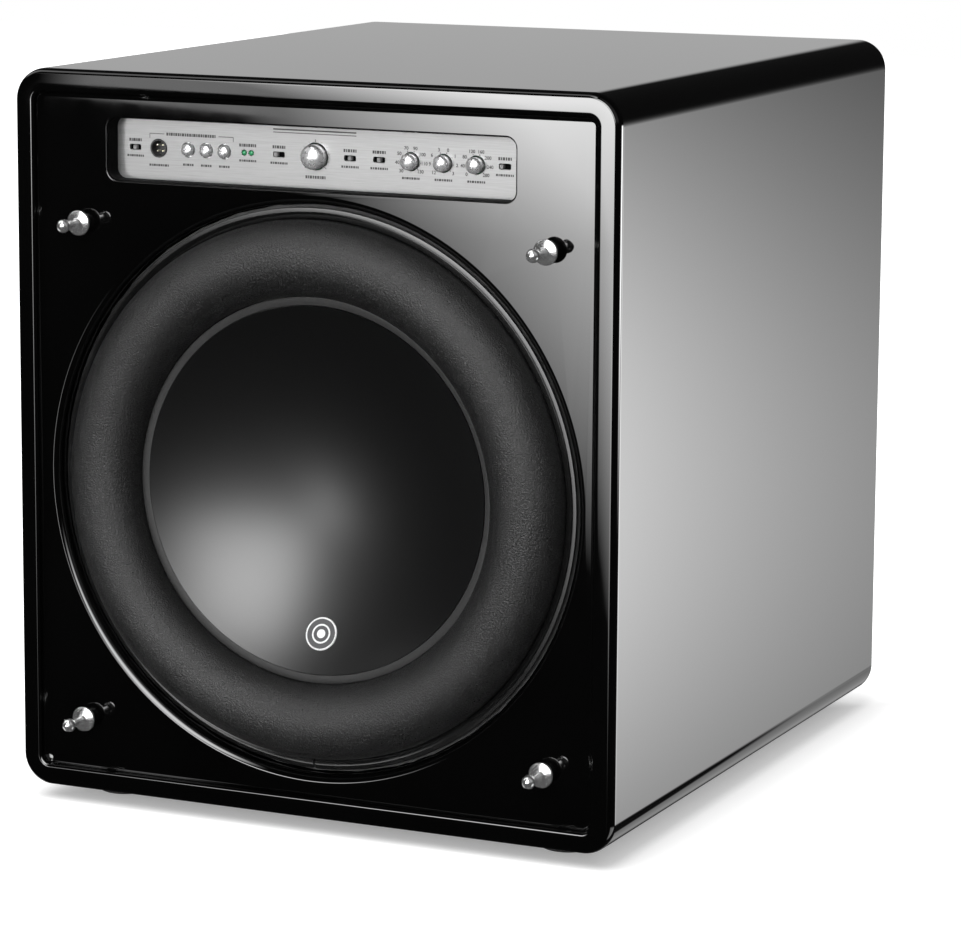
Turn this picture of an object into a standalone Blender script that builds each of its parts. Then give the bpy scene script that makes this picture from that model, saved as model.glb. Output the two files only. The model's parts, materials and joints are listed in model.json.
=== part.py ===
"""A powered, sealed subwoofer in a lacquered cabinet, without its grille.

Metres, +Z up. The front faces -Y and the origin is on the floor, under the middle of the
whole object. Places along the depth are given as distances behind the plane of the front rim,
and a turned piece's profile is a list of (radius, depth) points.
"""

import math

import bmesh
import bpy
from mathutils import Matrix, Vector

MM = 0.001
GAP = 0.3 * MM                    # left between pieces that touch

# Cabinet
WIDTH = 419 * MM
HEIGHT = 470 * MM                 # without the feet
DEPTH = 489 * MM                  # front rim to back
BOARD = 25 * MM                   # thickness of the cabinet's boards
EDGE_RADIUS = 20.5 * MM           # of the four long edges
END_RADIUS = 3.5 * MM             # of the edges round the front and the back
RIM_WIDTH = 9.5 * MM              # of the rim round the baffle
RIM_DEPTH = 6 * MM                # from the rim down to the baffle
BAFFLE_THICKNESS = 32 * MM
FOOT_HEIGHT = 10 * MM
FOOT_RADIUS = 19 * MM
FOOT_INSET = 50 * MM              # from the cabinet's sides to the foot's centre
BRACE_DEPTH = 262 * MM
BRACE_THICKNESS = 19 * MM
BRACE_HOLE_RADIUS = 118 * MM

# Grille pegs, on the corners of a square round the driver
PEG_SPAN = 324.7 * MM
PEG_REACH = 24 * MM               # of the tip in front of the rim
PEG_SHANK_RADIUS = 2.5 * MM
PEG_SHANK_END = 14 * MM
PEG_HOLE_END = 14.5 * MM

# Driver
DRIVER_Z = 220.3 * MM
OPENING_RADIUS = 182 * MM
OPENING_ROUND = 5.5 * MM          # rounding of the opening's front edge
SEAT_DEPTH = 22.4 * MM            # of the step that the frame rests on
THROAT_RADIUS = 166 * MM
FLANGE_RADIUS = 181.4 * MM
FLANGE_FRONT = 15.3 * MM
FLANGE_BACK = 20.3 * MM
FLANGE_BORE = 166.5 * MM
TRIM_FRONT = 10 * MM
TRIM_INNER = 172.5 * MM
TRIM_STEP = 176.8 * MM            # where its face steps back to a lower rim
TRIM_OUTER = 179.5 * MM
TRIM_SPLIT = 1.2 * MM             # width of the gap at the bottom of the ring
ROLL_CENTRE = 148 * MM            # radius of the surround's roll, and the roll's own radius
ROLL_RADIUS = 24 * MM
ROLL_SKIN = 2.2 * MM
ROLL_BASE = 10 * MM
DISH_RADIUS = 117.8 * MM
DISH_SPHERE = 237 * MM            # radius of the sphere that the dish is part of
DISH_BOTTOM = 41.5 * MM
DISH_SKIN = 3 * MM
BAND_INNER = 118.1 * MM
BAND_OUTER = 123.7 * MM
LIP_RADIUS = 126 * MM
FORMER_INNER = 37.4 * MM
FORMER_OUTER = 38.4 * MM
SPIDER_DEPTH = 104 * MM
SPIDER_OUTER = 94 * MM
TOP_PLATE_FRONT = 140 * MM
TOP_PLATE_BACK = 155 * MM
MAGNET_BACK = 200 * MM
YOKE_BACK = 214 * MM
PLATE_RADIUS = 92 * MM
MAGNET_RADIUS = 100 * MM
BOLT_COUNT = 6
BOLT_CIRCLE = 176.2 * MM
BOLT_RADIUS = 2.1 * MM
BOLT_HEAD_RADIUS = 3 * MM
BOLT_HOLE_RADIUS = 2.6 * MM
BOLT_FRONT = 12.3 * MM
BOLT_END = 34 * MM
BADGE_RADIUS = 10.8 * MM
BADGE_THICKNESS = 1.2 * MM
BADGE_DROP = 94.3 * MM            # below the driver's centre

# Control window and what stands in it, along X from the middle of the cabinet
WINDOW_X = -2.7 * MM
WINDOW_Z = 430.4 * MM
WINDOW_WIDTH = 284 * MM
WINDOW_HEIGHT = 40 * MM
WINDOW_RADIUS = 7 * MM
POCKET_MARGIN = 5.5 * MM          # of the pocket behind the window
FACE_FRONT = 19 * MM
FACE_THICKNESS = 2 * MM
CONTROL_Z = 430.9 * MM
MASTER_X = -3.2 * MM
MASTER_RADIUS = 7.9 * MM
MASTER_HEIGHT = 9.5 * MM
SMALL_KNOB_X = (62.6 * MM, 84.8 * MM, 107.0 * MM)
SMALL_KNOB_NAMES = ("low_pass_knob", "trim_knob", "phase_knob")
SMALL_KNOB_RADIUS = 5.1 * MM
SMALL_KNOB_HEIGHT = 7.5 * MM
KNOB_CLEARANCE = 0.7 * MM
BUTTON_X = (-93.4 * MM, -80.5 * MM, -67.6 * MM)
BUTTON_NAMES = ("first_button", "second_button", "third_button")
BUTTON_RADIUS = 4.2 * MM
BUTTON_HEIGHT = 3.4 * MM
BUTTON_CLEARANCE = 0.6 * MM
JACK_X = -114.5 * MM
JACK_RADIUS = 6 * MM
LED_X = (-53.4 * MM, -48.4 * MM)
LED_NAMES = ("signal_lamp", "mode_lamp")
LED_RADIUS = 1.5 * MM
SLIDE_X = (-131.5 * MM, -28.8 * MM, 20.8 * MM, 40.9 * MM, 126.2 * MM)
SLIDE_NAMES = ("power_slide", "level_slide", "lights_slide", "filter_slide", "polarity_slide")
TWO_POSITION_SLIDES = ("level_slide", "polarity_slide", "input_mode_slide", "ground_slide")
SLOT_LENGTH = 8 * MM
SLOT_WIDTH = 3.4 * MM
SLOT_CORNER = 0.4 * MM
THUMB_LENGTH = 3.4 * MM
SLIDE_TRAVEL = 2 * MM             # each way from the middle of the slot
BOARD_FRONT = 26 * MM

# Amplifier, in a pocket in the back
AMP_Z = 245 * MM
AMP_WIDTH = 322 * MM
AMP_HEIGHT = 242 * MM
AMP_RADIUS = 6 * MM
AMP_FRONT = 474.3 * MM            # inner face of the plate
AMP_THICKNESS = 2.5 * MM
AMP_CUTOUT = (290 * MM, 210 * MM)
XLR_X = (62 * MM, 102 * MM)
XLR_Z = AMP_Z + 62 * MM
XLR_RADIUS = 10.5 * MM
XLR_FLANGE_RADIUS = 13 * MM
XLR_SOCKET_RADIUS = 8 * MM
XLR_FRONT = 452 * MM
XLR_SOCKET_FRONT = 464 * MM
RCA_X = 12 * MM
RCA_SPACING = 16 * MM
RCA_RADIUS = 4.2 * MM
REAR_SLIDE_X = (-42 * MM, -78 * MM)
REAR_SLIDE_NAMES = ("input_mode_slide", "ground_slide")
INLET_X = -108 * MM
INLET_Z = AMP_Z - 72 * MM
INLET_SIZE = (27 * MM, 20 * MM)
INLET_FLANGE = 3 * MM             # beyond the body, all round
AMP_BOARD_BACK = 438 * MM
AMP_BOARD_FRONT = 436 * MM

# Sides of the turned pieces: pieces that fit each other have the same number
LARGE_STEPS = 40
MEDIUM_STEPS = 24
SMALL_STEPS = 16
TINY_STEPS = 10

FRONT_Y = (PEG_REACH - DEPTH) / 2
DOOR = (math.pi / 2, 0, 0)        # turns a piece's own +Z to the front and its own +Y up

FINISHES = {
    "black_lacquer": ((0.006, 0.006, 0.007), 0.06, 0.0),
    "bare_board": ((0.45, 0.33, 0.2), 0.8, 0.0),
    "foot_rubber": ((0.02, 0.02, 0.02), 0.8, 0.0),
    "peg_chrome": ((0.75, 0.75, 0.75), 0.15, 1.0),
    "cast_frame": ((0.05, 0.05, 0.052), 0.5, 0.8),
    "foam": ((0.03, 0.03, 0.03), 0.95, 0.0),
    "trim_gloss": ((0.01, 0.01, 0.011), 0.12, 0.0),
    "surround_rubber": ((0.035, 0.035, 0.036), 0.6, 0.0),
    "cone_satin": ((0.03, 0.03, 0.032), 0.4, 0.1),
    "band_satin": ((0.12, 0.12, 0.12), 0.5, 0.1),
    "badge_silver": ((0.6, 0.6, 0.6), 0.3, 1.0),
    "coil_former": ((0.5, 0.35, 0.1), 0.4, 0.0),
    "copper": ((0.7, 0.3, 0.15), 0.35, 1.0),
    "spider_cloth": ((0.55, 0.45, 0.15), 0.9, 0.0),
    "plated_steel": ((0.45, 0.45, 0.47), 0.35, 1.0),
    "ferrite": ((0.06, 0.06, 0.065), 0.7, 0.0),
    "bolt_steel": ((0.03, 0.03, 0.03), 0.4, 1.0),
    "brushed_aluminium": ((0.72, 0.72, 0.72), 0.35, 1.0),
    "knob_silver": ((0.7, 0.7, 0.71), 0.3, 1.0),
    "black_plastic": ((0.015, 0.015, 0.015), 0.4, 0.0),
    "lamp_green": ((0.05, 0.5, 0.15), 0.3, 0.0),
    "circuit_board": ((0.02, 0.16, 0.06), 0.5, 0.0),
    "amp_plate_black": ((0.02, 0.02, 0.021), 0.45, 0.6),
    "transformer_tape": ((0.5, 0.4, 0.05), 0.5, 0.0),
    "capacitor_sleeve": ((0.02, 0.03, 0.08), 0.4, 0.0),
}


def clear_scene():
    """Remove the objects that Blender starts with."""
    for thing in list(bpy.data.objects):
        bpy.data.objects.remove(thing)


def new_collection(name):
    """Make a collection and put it in the scene."""
    collection = bpy.data.collections.new(name)
    bpy.context.scene.collection.children.link(collection)
    return collection


def make_finishes():
    """One Principled material for each finish."""
    materials = {}
    for name, (colour, roughness, metallic) in FINISHES.items():
        material = bpy.data.materials.new(name)
        material.use_nodes = True
        shader = material.node_tree.nodes["Principled BSDF"]
        shader.inputs["Base Color"].default_value = (*colour, 1)
        shader.inputs["Roughness"].default_value = roughness
        shader.inputs["Metallic"].default_value = metallic
        materials[name] = material
    return materials


clear_scene()
PARTS = new_collection("subwoofer")
CUTTERS = new_collection("cutters")
MATERIALS = make_finishes()


def place(name, data, location, rotation=(0, 0, 0), finish=None):
    """Link a new object: a part if it has a finish, and a cutter if it has none."""
    thing = bpy.data.objects.new(name, data)
    thing.location = location
    thing.rotation_euler = rotation
    if finish:
        data.materials.append(MATERIALS[finish])
        PARTS.objects.link(thing)
    else:
        thing.hide_render = True
        thing.display_type = "WIRE"
        CUTTERS.objects.link(thing)
    return thing


def at_depth(x, depth, z):
    """A world point from its distance behind the front rim."""
    return Vector((x, FRONT_Y + depth, z))


def turned(name, profile, centre, steps, finish=None, rotation=DOOR, closed=False):
    """Turn a profile of (radius, depth) points about the axis through the centre.

    The centre is (x, z) on the front rim's plane, or a full location with a rotation.
    """
    mesh = bpy.data.meshes.new(name)
    points = [(radius, 0, -depth) for radius, depth in profile]
    edges = [(i, i + 1) for i in range(len(points) - 1)]
    if closed:
        edges.append((len(points) - 1, 0))
    mesh.from_pydata(points, edges, [])
    location = at_depth(centre[0], 0, centre[1]) if len(centre) == 2 else centre
    thing = place(name, mesh, location, rotation, finish)
    screw = thing.modifiers.new("Turn", "SCREW")
    screw.axis = "Z"
    screw.angle = 2 * math.pi
    screw.steps = steps
    screw.render_steps = steps
    screw.use_merge_vertices = True
    screw.merge_threshold = 0.00001
    screw.use_smooth_shade = False
    return thing


def ring(name, inner, outer, front, back, centre, steps, finish=None):
    """A plain ring with a square section."""
    profile = [(outer, front), (outer, back), (inner, back), (inner, front)]
    return turned(name, profile, centre, steps, finish, closed=True)


def disc(name, radius, front, back, centre, steps, finish=None):
    """A plain short cylinder."""
    return turned(name, [(0, front), (radius, front), (radius, back), (0, back)], centre, steps, finish)


def block(name, size, centre, finish=None, radius=0.0, segments=4, end_radius=0.0):
    """A box with its edges along Y rounded, and its front and back edges softened."""
    mesh = bpy.data.meshes.new(name)
    form = bmesh.new()
    bmesh.ops.create_cube(form, size=1)
    bmesh.ops.scale(form, vec=size, verts=form.verts)
    if radius:
        along = [edge for edge in form.edges if abs(edge.verts[0].co.y - edge.verts[1].co.y) > size[1] / 2]
        bmesh.ops.bevel(form, geom=along, offset=radius, offset_type="OFFSET", segments=segments,
                        profile=0.5, affect="EDGES")
    if end_radius:
        ends = [edge for edge in form.edges if abs(edge.verts[0].co.y - edge.verts[1].co.y) < size[1] / 2]
        bmesh.ops.bevel(form, geom=ends, offset=end_radius, offset_type="OFFSET", segments=2,
                        profile=0.5, affect="EDGES")
    form.to_mesh(mesh)
    form.free()
    return place(name, mesh, centre, finish=finish)


def slab(name, width, height, front, back, x, z, finish=None, radius=0.0, segments=4):
    """A block given by its front and back depths."""
    centre = at_depth(x, (front + back) / 2, z)
    return block(name, (width, back - front, height), centre, finish, radius, segments)


def rounded_outline(width, height, radius, x=0.0, y=0.0, segments=4):
    """Points round a rectangle with round corners."""
    points = []
    corners = ((1, 1, 0), (-1, 1, 90), (-1, -1, 180), (1, -1, 270))
    for side_x, side_y, start in corners:
        centre_x = x + side_x * (width / 2 - radius)
        centre_y = y + side_y * (height / 2 - radius)
        for step in range(segments + 1):
            angle = math.radians(start + 90 * step / segments)
            points.append((centre_x + radius * math.cos(angle), centre_y + radius * math.sin(angle)))
    return points


def circle_outline(radius, x=0.0, y=0.0, steps=16):
    """Points round a circle."""
    turns = [2 * math.pi * step / steps for step in range(steps)]
    return [(x + radius * math.cos(turn), y + radius * math.sin(turn)) for turn in turns]


def flat_plate(name, outlines, front, back, x, z, finish):
    """A plate cut from sheet: the first outline is its edge and the others are holes."""
    curve = bpy.data.curves.new(name, "CURVE")
    curve.dimensions = "2D"
    curve.fill_mode = "BOTH"
    curve.extrude = (back - front) / 2
    for outline in outlines:
        spline = curve.splines.new("POLY")
        spline.points.add(len(outline) - 1)
        for point, (across, up) in zip(spline.points, outline):
            point.co = (across, up, 0, 1)
        spline.use_cyclic_u = True
    return place(name, curve, at_depth(x, (front + back) / 2, z), DOOR, finish)


def cut(target, *cutters):
    """Subtract cutters from a part, one Boolean each."""
    for cutter in cutters:
        boolean = target.modifiers.new(cutter.name, "BOOLEAN")
        boolean.operation = "DIFFERENCE"
        boolean.object = cutter


def join(target, *others):
    """Unite helper shapes with a part, one Boolean each."""
    for other in others:
        boolean = target.modifiers.new(other.name, "BOOLEAN")
        boolean.operation = "UNION"
        boolean.object = other


def arc(centre, radius, start, end, steps):
    """(radius, depth) points on an arc: 0 degrees points outwards and 90 to the front."""
    points = []
    for step in range(steps + 1):
        angle = math.radians(start + (end - start) * step / steps)
        points.append((centre[0] + radius * math.cos(angle), centre[1] - radius * math.sin(angle)))
    return points


def driver_ring_points():
    """The places of the driver's bolts, round its centre."""
    turns = [2 * math.pi * (index + 0.5) / BOLT_COUNT for index in range(BOLT_COUNT)]
    return [(BOLT_CIRCLE * math.cos(turn), BOLT_CIRCLE * math.sin(turn)) for turn in turns]


def peg_places():
    """Name and (x, z) of each grille peg."""
    half = PEG_SPAN / 2
    return [
        (f"grille_peg_{level}_{side}", (half * across, DRIVER_Z + half * up))
        for level, up in (("top", 1), ("bottom", -1))
        for side, across in (("left", -1), ("right", 1))
    ]


def make_cabinet():
    """The lacquered box: a front rim, a seat for the baffle, a cavity and a pocket at the back."""
    middle = FOOT_HEIGHT + HEIGHT / 2
    shell = block("cabinet_shell", (WIDTH, DEPTH, HEIGHT), at_depth(0, DEPTH / 2, middle),
                  "black_lacquer", EDGE_RADIUS, 5, END_RADIUS)
    seat_end = RIM_DEPTH + BAFFLE_THICKNESS + GAP
    seat = slab("baffle_seat", WIDTH - 2 * RIM_WIDTH, HEIGHT - 2 * RIM_WIDTH, -10 * MM, seat_end,
                0, middle, radius=EDGE_RADIUS - RIM_WIDTH)
    cavity = slab("cavity", WIDTH - 2 * BOARD, HEIGHT - 2 * BOARD, seat_end - 5 * MM, DEPTH - BOARD,
                  0, middle)
    pocket = slab("amp_pocket", AMP_WIDTH + 2 * GAP, AMP_HEIGHT + 2 * GAP, AMP_FRONT - GAP,
                  DEPTH + 10 * MM, 0, AMP_Z, radius=AMP_RADIUS)
    opening = slab("amp_opening", *AMP_CUTOUT, DEPTH - BOARD - 5 * MM, AMP_FRONT + 5 * MM, 0, AMP_Z)
    cut(shell, seat, cavity, pocket, opening)

    inner_width = WIDTH - 2 * BOARD - 2 * GAP
    inner_height = HEIGHT - 2 * BOARD - 2 * GAP
    half = inner_width / 2
    top = middle - DRIVER_Z + inner_height / 2
    bottom = middle - DRIVER_Z - inner_height / 2
    edge = [(half, bottom), (half, top), (-half, top), (-half, bottom)]
    flat_plate("window_brace", [edge, circle_outline(BRACE_HOLE_RADIUS, steps=MEDIUM_STEPS)],
               BRACE_DEPTH, BRACE_DEPTH + BRACE_THICKNESS, 0, DRIVER_Z, "bare_board")


def make_baffle():
    """The front board, with the driver's opening, the control window and holes for the screws."""
    middle = FOOT_HEIGHT + HEIGHT / 2
    back = RIM_DEPTH + BAFFLE_THICKNESS
    baffle = slab("front_baffle", WIDTH - 2 * RIM_WIDTH - 2 * GAP, HEIGHT - 2 * RIM_WIDTH - 2 * GAP,
                  RIM_DEPTH, back, 0, middle, "black_lacquer", EDGE_RADIUS - RIM_WIDTH - GAP)
    round_centre = (OPENING_RADIUS + OPENING_ROUND, RIM_DEPTH + OPENING_ROUND)
    rounding = arc(round_centre, OPENING_ROUND, 112.5, 180, 3)
    lead = (OPENING_RADIUS + OPENING_ROUND + 0.6 * MM, RIM_DEPTH - 0.6 * MM)
    profile = [(0, lead[1]), lead, *rounding, (OPENING_RADIUS, SEAT_DEPTH),
               (THROAT_RADIUS, SEAT_DEPTH), (THROAT_RADIUS, back + 5 * MM), (0, back + 5 * MM)]
    opening = turned("driver_opening", profile, (0, DRIVER_Z), LARGE_STEPS)
    window = slab("control_window", WINDOW_WIDTH, WINDOW_HEIGHT, 0, FACE_FRONT, WINDOW_X, WINDOW_Z,
                  radius=WINDOW_RADIUS, segments=5)
    pocket = slab("control_pocket", WINDOW_WIDTH + 2 * POCKET_MARGIN, WINDOW_HEIGHT + 2 * POCKET_MARGIN,
                  FACE_FRONT - GAP, back + 5 * MM, WINDOW_X, WINDOW_Z, radius=3 * MM, segments=2)
    cut(baffle, opening, window, pocket)
    for index, (across, up) in enumerate(driver_ring_points()):
        cut(baffle, disc(f"bolt_hole_{index}", BOLT_HOLE_RADIUS, SEAT_DEPTH - 3 * MM, back - 2 * MM,
                         (across, DRIVER_Z + up), TINY_STEPS))
    for name, centre in peg_places():
        cut(baffle, disc(f"{name}_hole", PEG_SHANK_RADIUS + GAP, 0, PEG_HOLE_END, centre, TINY_STEPS))


def make_feet():
    """Four rubber feet with a recess for their screws."""
    across = WIDTH / 2 - FOOT_INSET
    along = DEPTH / 2 - FOOT_INSET
    for end, y_side in (("front", -1), ("rear", 1)):
        for side, x_side in (("left", -1), ("right", 1)):
            centre = at_depth(x_side * across, DEPTH / 2 + y_side * along, 0)
            profile = [
                (0, -FOOT_HEIGHT + GAP),
                (FOOT_RADIUS, -FOOT_HEIGHT + GAP),
                (FOOT_RADIUS - 1 * MM, -1 * MM),
                (FOOT_RADIUS - 2 * MM, 0),
                (6 * MM, 0),
                (5 * MM, -4 * MM),
                (0, -4 * MM),
            ]
            turned(f"foot_{end}_{side}", profile, tuple(centre), SMALL_STEPS, "foot_rubber", (0, 0, 0))


def make_pegs():
    """Chrome pegs that hold the grille: a ball on a neck, a dished disc and a shank."""
    ball = 4.4 * MM
    ball_depth = -PEG_REACH + ball
    neck = 2.6 * MM
    profile = [(0, -PEG_REACH)]
    profile += arc((0, ball_depth), ball, 60, -50, 3)
    profile += [
        (neck, -13 * MM),
        (neck, -4 * MM),
        (8.2 * MM, -2 * MM),
        (8.7 * MM, -1 * MM),
        (8.2 * MM, 0),
        (3.4 * MM, 1.2 * MM),
        (3.4 * MM, RIM_DEPTH - GAP),
        (PEG_SHANK_RADIUS, RIM_DEPTH - GAP),
        (PEG_SHANK_RADIUS, PEG_SHANK_END),
        (0, PEG_SHANK_END),
    ]
    for name, centre in peg_places():
        turned(name, profile, centre, TINY_STEPS, "peg_chrome")


def make_frame():
    """What holds the driver in the baffle: the cast frame, its gasket, bolts and trim ring."""
    centre = (0, DRIVER_Z)
    landing = SPIDER_DEPTH + 1.6 * MM
    profile = [
        (FLANGE_RADIUS, FLANGE_FRONT),
        (FLANGE_RADIUS, FLANGE_BACK),
        (THROAT_RADIUS - 0.5 * MM, FLANGE_BACK),
        (THROAT_RADIUS - 0.5 * MM, 36 * MM),
        (106 * MM, 105 * MM),
        (96 * MM, 112 * MM),
        (84 * MM, TOP_PLATE_FRONT - GAP),
        (74 * MM, TOP_PLATE_FRONT - GAP),
        (86 * MM, 112 * MM),
        (86 * MM, landing),
        (96.5 * MM, landing),
        (98 * MM, landing - 3 * MM),
        (157 * MM, 34 * MM),
        (161 * MM, 24 * MM),
        (FLANGE_BORE, FLANGE_FRONT + 3 * MM),
        (FLANGE_BORE, FLANGE_FRONT),
    ]
    frame = turned("driver_frame", profile, centre, LARGE_STEPS, "cast_frame", closed=True)
    for index in range(BOLT_COUNT):
        turn = 2 * math.pi * index / BOLT_COUNT
        middle = Matrix.Rotation(-turn, 3, "Y") @ Vector((130 * MM, 0, 0))
        window = block(f"frame_window_{index}", (80 * MM, 44 * MM, 74 * MM),
                       at_depth(middle.x, 68 * MM, DRIVER_Z + middle.z))
        window.rotation_euler = (0, -turn, 0)
        cut(frame, window)

    gasket_holes = []
    for index, (across, up) in enumerate(driver_ring_points()):
        gasket_holes.append(circle_outline(BOLT_HOLE_RADIUS, across, up, TINY_STEPS))
        hole = disc(f"frame_hole_{index}", BOLT_HOLE_RADIUS, FLANGE_FRONT - 2 * MM,
                    FLANGE_BACK + 2 * MM, (across, DRIVER_Z + up), TINY_STEPS)
        cut(frame, hole)
        bolt = [
            (0, BOLT_FRONT),
            (BOLT_HEAD_RADIUS - 0.6 * MM, BOLT_FRONT),
            (BOLT_HEAD_RADIUS, BOLT_FRONT + 0.6 * MM),
            (BOLT_HEAD_RADIUS, FLANGE_FRONT - GAP),
            (BOLT_RADIUS, FLANGE_FRONT - GAP),
            (BOLT_RADIUS, BOLT_END),
            (0, BOLT_END),
        ]
        turned(f"driver_bolt_{index + 1}", bolt, (across, DRIVER_Z + up), TINY_STEPS,
               "bolt_steel")
    edges = [circle_outline(radius, steps=LARGE_STEPS) for radius in (FLANGE_RADIUS, FLANGE_BORE)]
    flat_plate("driver_gasket", edges + gasket_holes, FLANGE_BACK + GAP, SEAT_DEPTH - GAP,
               *centre, "foam")

    profile = [
        (TRIM_INNER + 0.4 * MM, TRIM_FRONT),
        (TRIM_STEP - 0.3 * MM, TRIM_FRONT),
        (TRIM_STEP, TRIM_FRONT + 0.9 * MM),
        (TRIM_OUTER, TRIM_FRONT + 0.9 * MM),
        (TRIM_OUTER, TRIM_FRONT + 2 * MM),
        (TRIM_INNER, TRIM_FRONT + 2 * MM),
        (TRIM_INNER, TRIM_FRONT + 0.4 * MM),
    ]
    trim = turned("trim_ring", profile, centre, LARGE_STEPS, "trim_gloss", closed=True)
    split = slab("trim_split", TRIM_SPLIT, 2 * (TRIM_OUTER - TRIM_INNER), 0, FLANGE_FRONT, 0,
                 DRIVER_Z - (TRIM_INNER + TRIM_OUTER) / 2)
    cut(trim, split)


def make_surround():
    """The rubber half roll between the frame and the cone, open at the back."""
    roll = (ROLL_CENTRE, ROLL_BASE)
    inner = ROLL_CENTRE - ROLL_RADIUS
    outer = ROLL_CENTRE + ROLL_RADIUS
    foot = FLANGE_FRONT - GAP
    lip = ROLL_BASE + 2.7 * MM
    profile = arc(roll, ROLL_RADIUS, 180, 0, 8)
    profile += [(outer, foot), (outer - ROLL_SKIN, foot)]
    profile += arc(roll, ROLL_RADIUS - ROLL_SKIN, 0, 180, 6)
    profile += [(inner + ROLL_SKIN, lip), (inner, lip)]
    turned("surround", profile, (0, DRIVER_Z), LARGE_STEPS, "surround_rubber", closed=True)


def dish_depth(radius, skin=0.0):
    """Depth of the dish at a radius, or of its underside with the skin's thickness."""
    return DISH_BOTTOM - DISH_SPHERE + math.sqrt(DISH_SPHERE**2 - radius**2) + skin


def make_cone():
    """Everything that the coil drives: dish, band, badge, skirt, former and winding."""
    centre = (0, DRIVER_Z)
    lip = ROLL_BASE + 3 * MM
    steps = 5
    radii = [DISH_RADIUS * step / steps for step in range(steps + 1)]
    profile = [(radius, dish_depth(radius)) for radius in radii]
    profile += [
        (DISH_RADIUS, lip),
        (LIP_RADIUS, lip),
        (LIP_RADIUS, lip + 3 * MM),
        (113 * MM, lip + 3.4 * MM),
    ]
    profile += [(radius, dish_depth(radius, DISH_SKIN)) for radius in reversed(radii[:-1])]
    turned("cone", profile, centre, LARGE_STEPS, "cone_satin")
    ring("cone_band", BAND_INNER, BAND_OUTER, ROLL_BASE, ROLL_BASE + 2.7 * MM, centre, LARGE_STEPS,
         "band_satin")

    skirt = [(99 * MM, 24.3 * MM), (41.2 * MM, 80 * MM), (38.8 * MM, 80 * MM), (38.8 * MM, 77 * MM),
             (95.5 * MM, 25 * MM)]
    turned("cone_skirt", skirt, centre, MEDIUM_STEPS, "cone_satin", closed=True)
    ring("coil_former", FORMER_INNER, FORMER_OUTER, 70 * MM, 170 * MM, centre, MEDIUM_STEPS, "coil_former")
    ring("voice_coil", FORMER_OUTER + GAP, 40.7 * MM, 122 * MM, 168 * MM, centre, MEDIUM_STEPS, "copper")

    tilt = math.asin(BADGE_DROP / DISH_SPHERE)
    outward = Vector((0, -math.cos(tilt), math.sin(tilt)))
    lift = 0.7 * MM + BADGE_RADIUS**2 / (2 * DISH_SPHERE)
    spot = at_depth(0, dish_depth(BADGE_DROP), DRIVER_Z - BADGE_DROP) + outward * lift
    profile = [(0, -BADGE_THICKNESS), (BADGE_RADIUS - 0.4 * MM, -BADGE_THICKNESS),
               (BADGE_RADIUS, -BADGE_THICKNESS + 0.4 * MM), (BADGE_RADIUS, 0), (0, 0)]
    turned("badge", profile, tuple(spot), SMALL_STEPS, "badge_silver", (math.pi / 2 - tilt, 0, 0))


def make_spider():
    """The corrugated cloth disc that centres the coil."""
    inner = FORMER_OUTER + GAP
    thickness = 1.2 * MM
    waves = 2
    steps = 4 * waves
    flat = 6 * MM
    front = []
    for step in range(steps + 1):
        radius = inner + flat + (SPIDER_OUTER - inner - 2 * flat) * step / steps
        front.append((radius, SPIDER_DEPTH + 2.2 * MM * math.sin(2 * math.pi * waves * step / steps)))
    front = [(inner, SPIDER_DEPTH), *front, (SPIDER_OUTER, SPIDER_DEPTH)]
    back = [(radius, depth + thickness) for radius, depth in reversed(front)]
    turned("spider", front + back, (0, DRIVER_Z), MEDIUM_STEPS, "spider_cloth", closed=True)


def make_motor():
    """The magnet between its top plate and the yoke, whose pole has a vent through it."""
    centre = (0, DRIVER_Z)
    ring("top_plate", 42 * MM, PLATE_RADIUS, TOP_PLATE_FRONT, TOP_PLATE_BACK, centre, MEDIUM_STEPS,
         "plated_steel")
    ring("magnet", 50 * MM, MAGNET_RADIUS, TOP_PLATE_BACK + GAP, MAGNET_BACK, centre, MEDIUM_STEPS,
         "ferrite")
    pole = 36.4 * MM
    vent = 14 * MM
    front = TOP_PLATE_FRONT + 2 * MM
    profile = [
        (pole, front),
        (pole, MAGNET_BACK + GAP),
        (PLATE_RADIUS, MAGNET_BACK + GAP),
        (PLATE_RADIUS, YOKE_BACK - 2 * MM),
        (PLATE_RADIUS - 2 * MM, YOKE_BACK),
        (vent, YOKE_BACK),
        (vent, front),
    ]
    turned("yoke", profile, centre, MEDIUM_STEPS, "plated_steel", closed=True)


def make_knob(name, x, radius, height):
    """A domed silver knob on its shaft, standing in a round hole in the plate."""
    face = FACE_FRONT - height
    dome = radius * 0.35
    profile = [(0, face)]
    for step in range(1, 4):
        angle = math.pi / 2 * step / 3
        profile.append((radius * math.sin(angle), face + dome * (1 - math.cos(angle))))
    profile += [
        (radius, FACE_FRONT + FACE_THICKNESS + 1 * MM),
        (3 * MM, FACE_FRONT + FACE_THICKNESS + 1 * MM),
        (3 * MM, BOARD_FRONT - GAP),
        (0, BOARD_FRONT - GAP),
    ]
    turned(name, profile, (x, CONTROL_Z), SMALL_STEPS, "knob_silver")


def make_slide(name, x, z, base_front, base_back, thumb_front, thumb_back):
    """A slide switch's thumb, and the wide base behind the slot that keeps the slot covered.

    A switch of two positions rests at the left end of its slot, and one of three in the middle.
    """
    if name in TWO_POSITION_SLIDES:
        x -= SLIDE_TRAVEL
    base = slab(name, SLOT_LENGTH + 2 * SLIDE_TRAVEL + 1 * MM, 5 * MM, base_front, base_back, x, z,
                "black_plastic")
    thumb = slab(f"{name}_thumb", THUMB_LENGTH, SLOT_WIDTH - 0.8 * MM, thumb_front, thumb_back, x, z)
    join(base, thumb)


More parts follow.
